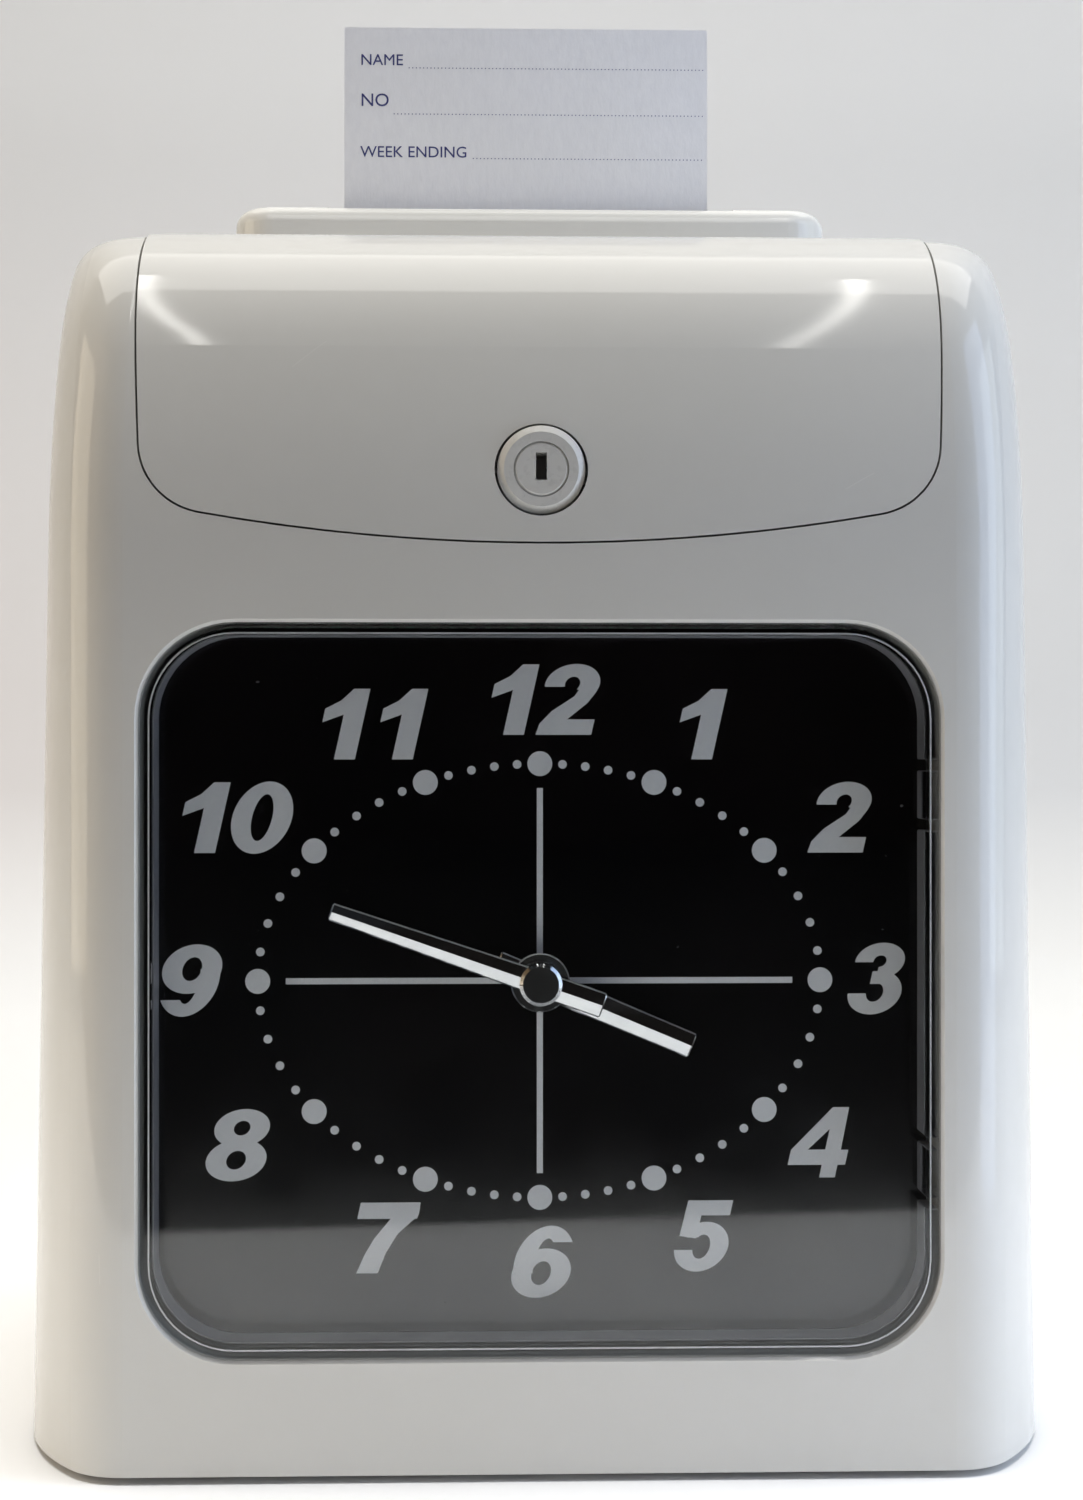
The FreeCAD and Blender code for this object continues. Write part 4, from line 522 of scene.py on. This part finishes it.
def frosted(name, dark, light, low, high):
    """Clear plastic with a finely etched surface that scatters the light; in pale grey it is the bead's painted
    highlight.
    """
    s = Shader(name)
    s.paint(s.colours(s.ramp(s.noise(60.0, 3.0), 0.3, 0.7), dark, light))
    s.rough(s.ramp(s.noise(200.0, 2.0), 0.3, 0.7, low, high))
    s.bump(s.noise(1500.0, 1.0), 0.00001)
    return s.material


skirt_frost = frosted("skirt_frost", (0.24, 0.24, 0.26), (0.33, 0.33, 0.355), 0.4, 0.6)
# Painted highlight: the bead's pale grey stands for the bright line of light along the cover's edge.
bead_edge = frosted("bead_edge", (0.62, 0.62, 0.63), (0.76, 0.76, 0.77), 0.10, 0.2)
sheet_of("cover_skirt", frosted_skirt, skirt_frost, "case")
sheet_of("cover_bead", cover_bead, bead_edge, "case")


# ---------------------------------------------------------------- print on the card


card_low, card_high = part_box("time_card")
ink_film = 0.00004
text_left = card_low.x + 0.0037
# Each row: its word, the word's drop and letter height, where its line starts, and the line's drop.
field_rows = (
    ("NAME", 0.0075, 0.0026, 0.0150, 0.0094),
    ("NO", 0.0169, 0.0030, 0.0115, 0.0202),
    ("WEEK ENDING", 0.0290, 0.0026, 0.0300, 0.0305),
)
font_to_letter = 1.42
dot_size = 0.00022
dot_step = 0.00085


def slab(build, left, right, low, high):
    """A thin upright block of ink on the card's front face."""
    near = card_low.y - ink_film
    far = card_low.y + ink_film
    outline = ((left, low), (right, low), (right, high), (left, high))
    front = [build.verts.new((x, near, z)) for x, z in outline]
    back = [build.verts.new((x, far, z)) for x, z in outline]
    build.faces.new(front)
    build.faces.new(back[::-1])
    for corner in range(4):
        after = (corner + 1) % 4
        build.faces.new((front[after], front[corner], back[corner], back[after]))


def dotted_lines(build):
    """One row of dots after each field word, out to the card's right edge."""
    for *_, start, line_drop in field_rows:
        line = card_high.z - line_drop
        x = card_low.x + start
        while x < card_high.x - dot_step:
            slab(build, x, x + dot_size, line - dot_size / 2, line + dot_size / 2)
            x += dot_step


sheet_of("card_ruled_lines", dotted_lines, ink, "card")

for number, (word, drop, size, *_) in enumerate(field_rows):
    letters = bpy.data.curves.new(f"card_word_{number}", "FONT")
    letters.body = word
    letters.size = size * font_to_letter
    letters.extrude = ink_film
    letters.resolution_u = 4
    text = bpy.data.objects.new(f"card_field_{number}", letters)
    bpy.context.scene.collection.objects.link(text)
    text.rotation_euler = (math.pi / 2, 0.0, 0.0)
    text.location = (text_left, card_low.y, card_high.z - drop - size * 0.5)
    bpy.context.view_layer.update()
    evaluated = text.evaluated_get(bpy.context.evaluated_depsgraph_get())
    mesh = bpy.data.meshes.new_from_object(evaluated)
    mesh.transform(text.matrix_world)
    bpy.data.objects.remove(text)
    mesh.materials.clear()
    mesh.materials.append(ink)
    piece = bpy.data.objects.new(f"card_field_{number}", mesh)
    bpy.context.scene.collection.objects.link(piece)
    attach(piece, "card")


# ---------------------------------------------------------------- floor, backdrop and light


def matt(name, colour_low, colour_high, rough):
    """A dull dark finish for the painted-shade sheets round the object."""
    s = Shader(name)
    s.paint(s.colours(s.ramp(s.noise(3.0, 3.0), 0.3, 0.7), colour_low, colour_high))
    s.rough(s.ramp(s.noise(8.0, 2.0), 0.3, 0.7, rough, rough + 0.1))
    return s.material


def backdrop_paper():
    """White paper for the floor; up the wall its colour is painted light: a warm cast on the left, a cool cast on
    the right, and painted shade on the lower wall.
    """
    s = Shader("backdrop")
    split = s.add("ShaderNodeSeparateXYZ")
    s.link(s.place, split.inputs["Vector"])
    # Painted light: the warm left and cool right casts and the darker lower wall stand in for the side lamps'
    # spill and for shade.
    across = s.ramp(split.outputs["X"], -0.5, 0.5)
    shaded_lower_wall = s.colours(across, (0.68, 0.63, 0.61), (0.66, 0.69, 0.74))
    lit_upper_wall = s.colours(across, (0.81, 0.80, 0.80), (0.90, 0.92, 0.97))
    wall = s.colours(s.ramp(split.outputs["Z"], 0.17, 0.55), shaded_lower_wall, lit_upper_wall)
    grain = s.ramp(s.noise(3.0, 3.0), 0.3, 0.7, 0.0, 0.04)
    tint = s.colours(s.ramp(split.outputs["Z"], 0.02, 0.12), grey(0.91), wall)
    s.paint(s.colours(grain, tint, grey(0.80)))
    s.rough(s.ramp(s.noise(8.0, 2.0), 0.3, 0.7, 0.6, 0.7))
    return s.material


def stage_sheet(name, points, faces, material):
    """A sheet of the set that the object stands in."""
    mesh = bpy.data.meshes.new(name)
    mesh.from_pydata(points, [], faces)
    mesh.materials.append(material)
    thing = bpy.data.objects.new(name, mesh)
    bpy.context.scene.collection.objects.link(thing)
    return thing


room = 3.0
sweep_start = 0.35
sweep_radius = 0.5
sweep_steps = 24
profile = [(-room, 0.0), (sweep_start, 0.0)]
for step in range(1, sweep_steps + 1):
    turn = math.pi / 2 * step / sweep_steps
    along = sweep_start + sweep_radius * math.sin(turn)
    profile.append((along, sweep_radius * (1 - math.cos(turn))))
profile.append((sweep_start + sweep_radius, room))
sweep_points = [(x, y, z) for y, z in profile for x in (-room, room)]
sweep_faces = [(2 * i, 2 * i + 1, 2 * i + 3, 2 * i + 2) for i in range(len(profile) - 1)]
sweep = stage_sheet("sweep", sweep_points, sweep_faces, backdrop_paper())
for face in sweep.data.polygons:
    face.use_smooth = True


def unseen(thing, lights_others=False):
    """Hide a thing from all but reflections; with lights_others it also darkens what it faces."""
    thing.visible_camera = False
    thing.visible_diffuse = lights_others
    thing.visible_transmission = False
    thing.visible_volume_scatter = False
    thing.visible_shadow = False


# Two dark sheets are painted shade for the unlit half of the room: one on the floor before the table, one upright.
apron_high = 0.001
apron_left = front_plane + 0.110
apron_right = front_plane - 0.562
apron_points = [(-room, apron_left), (room, apron_right), (room, -room), (-room, -room)]
apron_points = [(x, y, apron_high) for x, y in apron_points]
apron_shade = matt("dark_apron", grey(0.010), grey(0.016), 0.8)
apron = stage_sheet("dark_apron", apron_points, [(0, 1, 2, 3)], apron_shade)
wall_high = 1.6
wall_points = [(-room, 0.0), (room, 0.0), (room, wall_high), (-room, wall_high)]
wall_points = [(x, -room, z) for x, z in wall_points]
wall_shade = matt("dark_wall", (0.012, 0.010, 0.010), (0.030, 0.020, 0.018), 0.8)
dark_wall = stage_sheet("dark_wall", wall_points, [(0, 1, 2, 3)], wall_shade)
unseen(apron, True)
unseen(dark_wall)


def area_light(name, where, towards, size, power, colour):
    """A rectangular lamp of that width and height, in watts, at one place and facing another."""
    data = bpy.data.lights.new(name, "AREA")
    data.shape = "RECTANGLE"
    data.size, data.size_y = size
    data.energy = power
    data.color = colour
    lamp = bpy.data.objects.new(name, data)
    bpy.context.scene.collection.objects.link(lamp)
    lamp.location = where
    lamp.rotation_euler = (Vector(towards) - Vector(where)).to_track_quat("-Z", "Y").to_euler()
    return lamp


# Each lamp: its place, what it faces, its width and height, its power and its colour.
lamps = {}
for name, *how in (
    ("ceiling", (0, 0.7, 1.9), (0, 0.35, 0), (2.6, 1.8), 29.0, (1, 0.98, 0.93)),
    ("front_soft", (0, -0.25, 2.25), (0, -0.25, 0), (1.6, 0.6), 27.0, (1, 0.98, 0.93)),
    ("floor_wash", (0, -0.22, 1.3), (0, -0.22, 0), (1.6, 0.5), 0.90, (1, 0.99, 0.99)),
    ("warm_side", (-0.75, -0.10, 0.32), (0, 0, 0.17), (0.4, 0.6), 1.2, (1, 0.85, 0.62)),
    ("warm_near", (-0.34, -0.17, 0.20), (-0.08, -0.05, 0.15), (0.15, 0.50), 0.06, (1, 0.62, 0.30)),
    ("cool_side", (0.75, -0.10, 0.32), (0, 0, 0.17), (0.4, 0.6), 0.9, (0.84, 0.95, 1)),
    ("cool_near", (0.31, -0.15, 0.20), (0.08, -0.05, 0.15), (0.15, 0.50), 0.46, (0.52, 0.66, 0.95)),
    ("far_floor", (0, -2.1, 1.2), (0, -2.1, 0), (5.0, 1.6), 7.0, (1, 0.99, 0.98)),
    ("upper_fill", (0, -0.9, 1.1), (0, 0, 0.28), (0.8, 0.5), 2.6, (1, 0.99, 0.96)),
):
    lamps[name] = area_light(name, *how)
lamps["front_soft"].visible_glossy = False
lamps["floor_wash"].data.spread = math.radians(30.0)
lamps["far_floor"].data.spread = math.radians(60.0)
for name, lit in (
    ("floor_wash", (sweep,)),
    ("far_floor", (sweep,)),
    ("upper_fill", (nodes["time_card"], nodes["slot_collar"])),
):
    only = bpy.data.collections.new(name + "_only")
    for thing in lit:
        only.objects.link(thing)
    lamps[name].light_linking.receiver_collection = only

# Two long narrow lamps straight above the front, level, for the streaks on the lid's shoulders.
strip_from_middle = 0.385
strip_aside = 0.01
strip_size = (0.022, 1.9)
for side in (-1, 1):
    strip_at = (strip_from_middle * side + strip_aside, -0.75, 2.2)
    below = (strip_at[0], strip_at[1], 0)
    strip = area_light(f"strip_{side + 1}", strip_at, below, strip_size, 1.3, (1, 0.98, 0.94))
    strip.rotation_euler = (0.0, 0.0, 0.0)

world = bpy.data.worlds.new("world")
bpy.context.scene.world = world
world.use_nodes = True
sky = world.node_tree
# A very dim sky lights the object; the camera sees a pale grey one past the backdrop's edges.
dim = sky.nodes["Background"]
dim.inputs["Color"].default_value = (0.86, 0.90, 1.0, 1.0)
dim.inputs["Strength"].default_value = 0.02
pale = sky.nodes.new("ShaderNodeBackground")
pale.inputs["Color"].default_value = (0.62, 0.62, 0.62, 1.0)
seen = sky.nodes.new("ShaderNodeLightPath")
choose = sky.nodes.new("ShaderNodeMixShader")
sky.links.new(seen.outputs["Is Camera Ray"], choose.inputs["Fac"])
sky.links.new(dim.outputs["Background"], choose.inputs[1])
sky.links.new(pale.outputs["Background"], choose.inputs[2])
sky.links.new(choose.outputs["Shader"], sky.nodes["World Output"].inputs["Surface"])

settings = bpy.context.scene.view_settings
settings.view_transform = "Standard"
settings.look = "None"
settings.exposure = 0.0
settings.gamma = 1.0
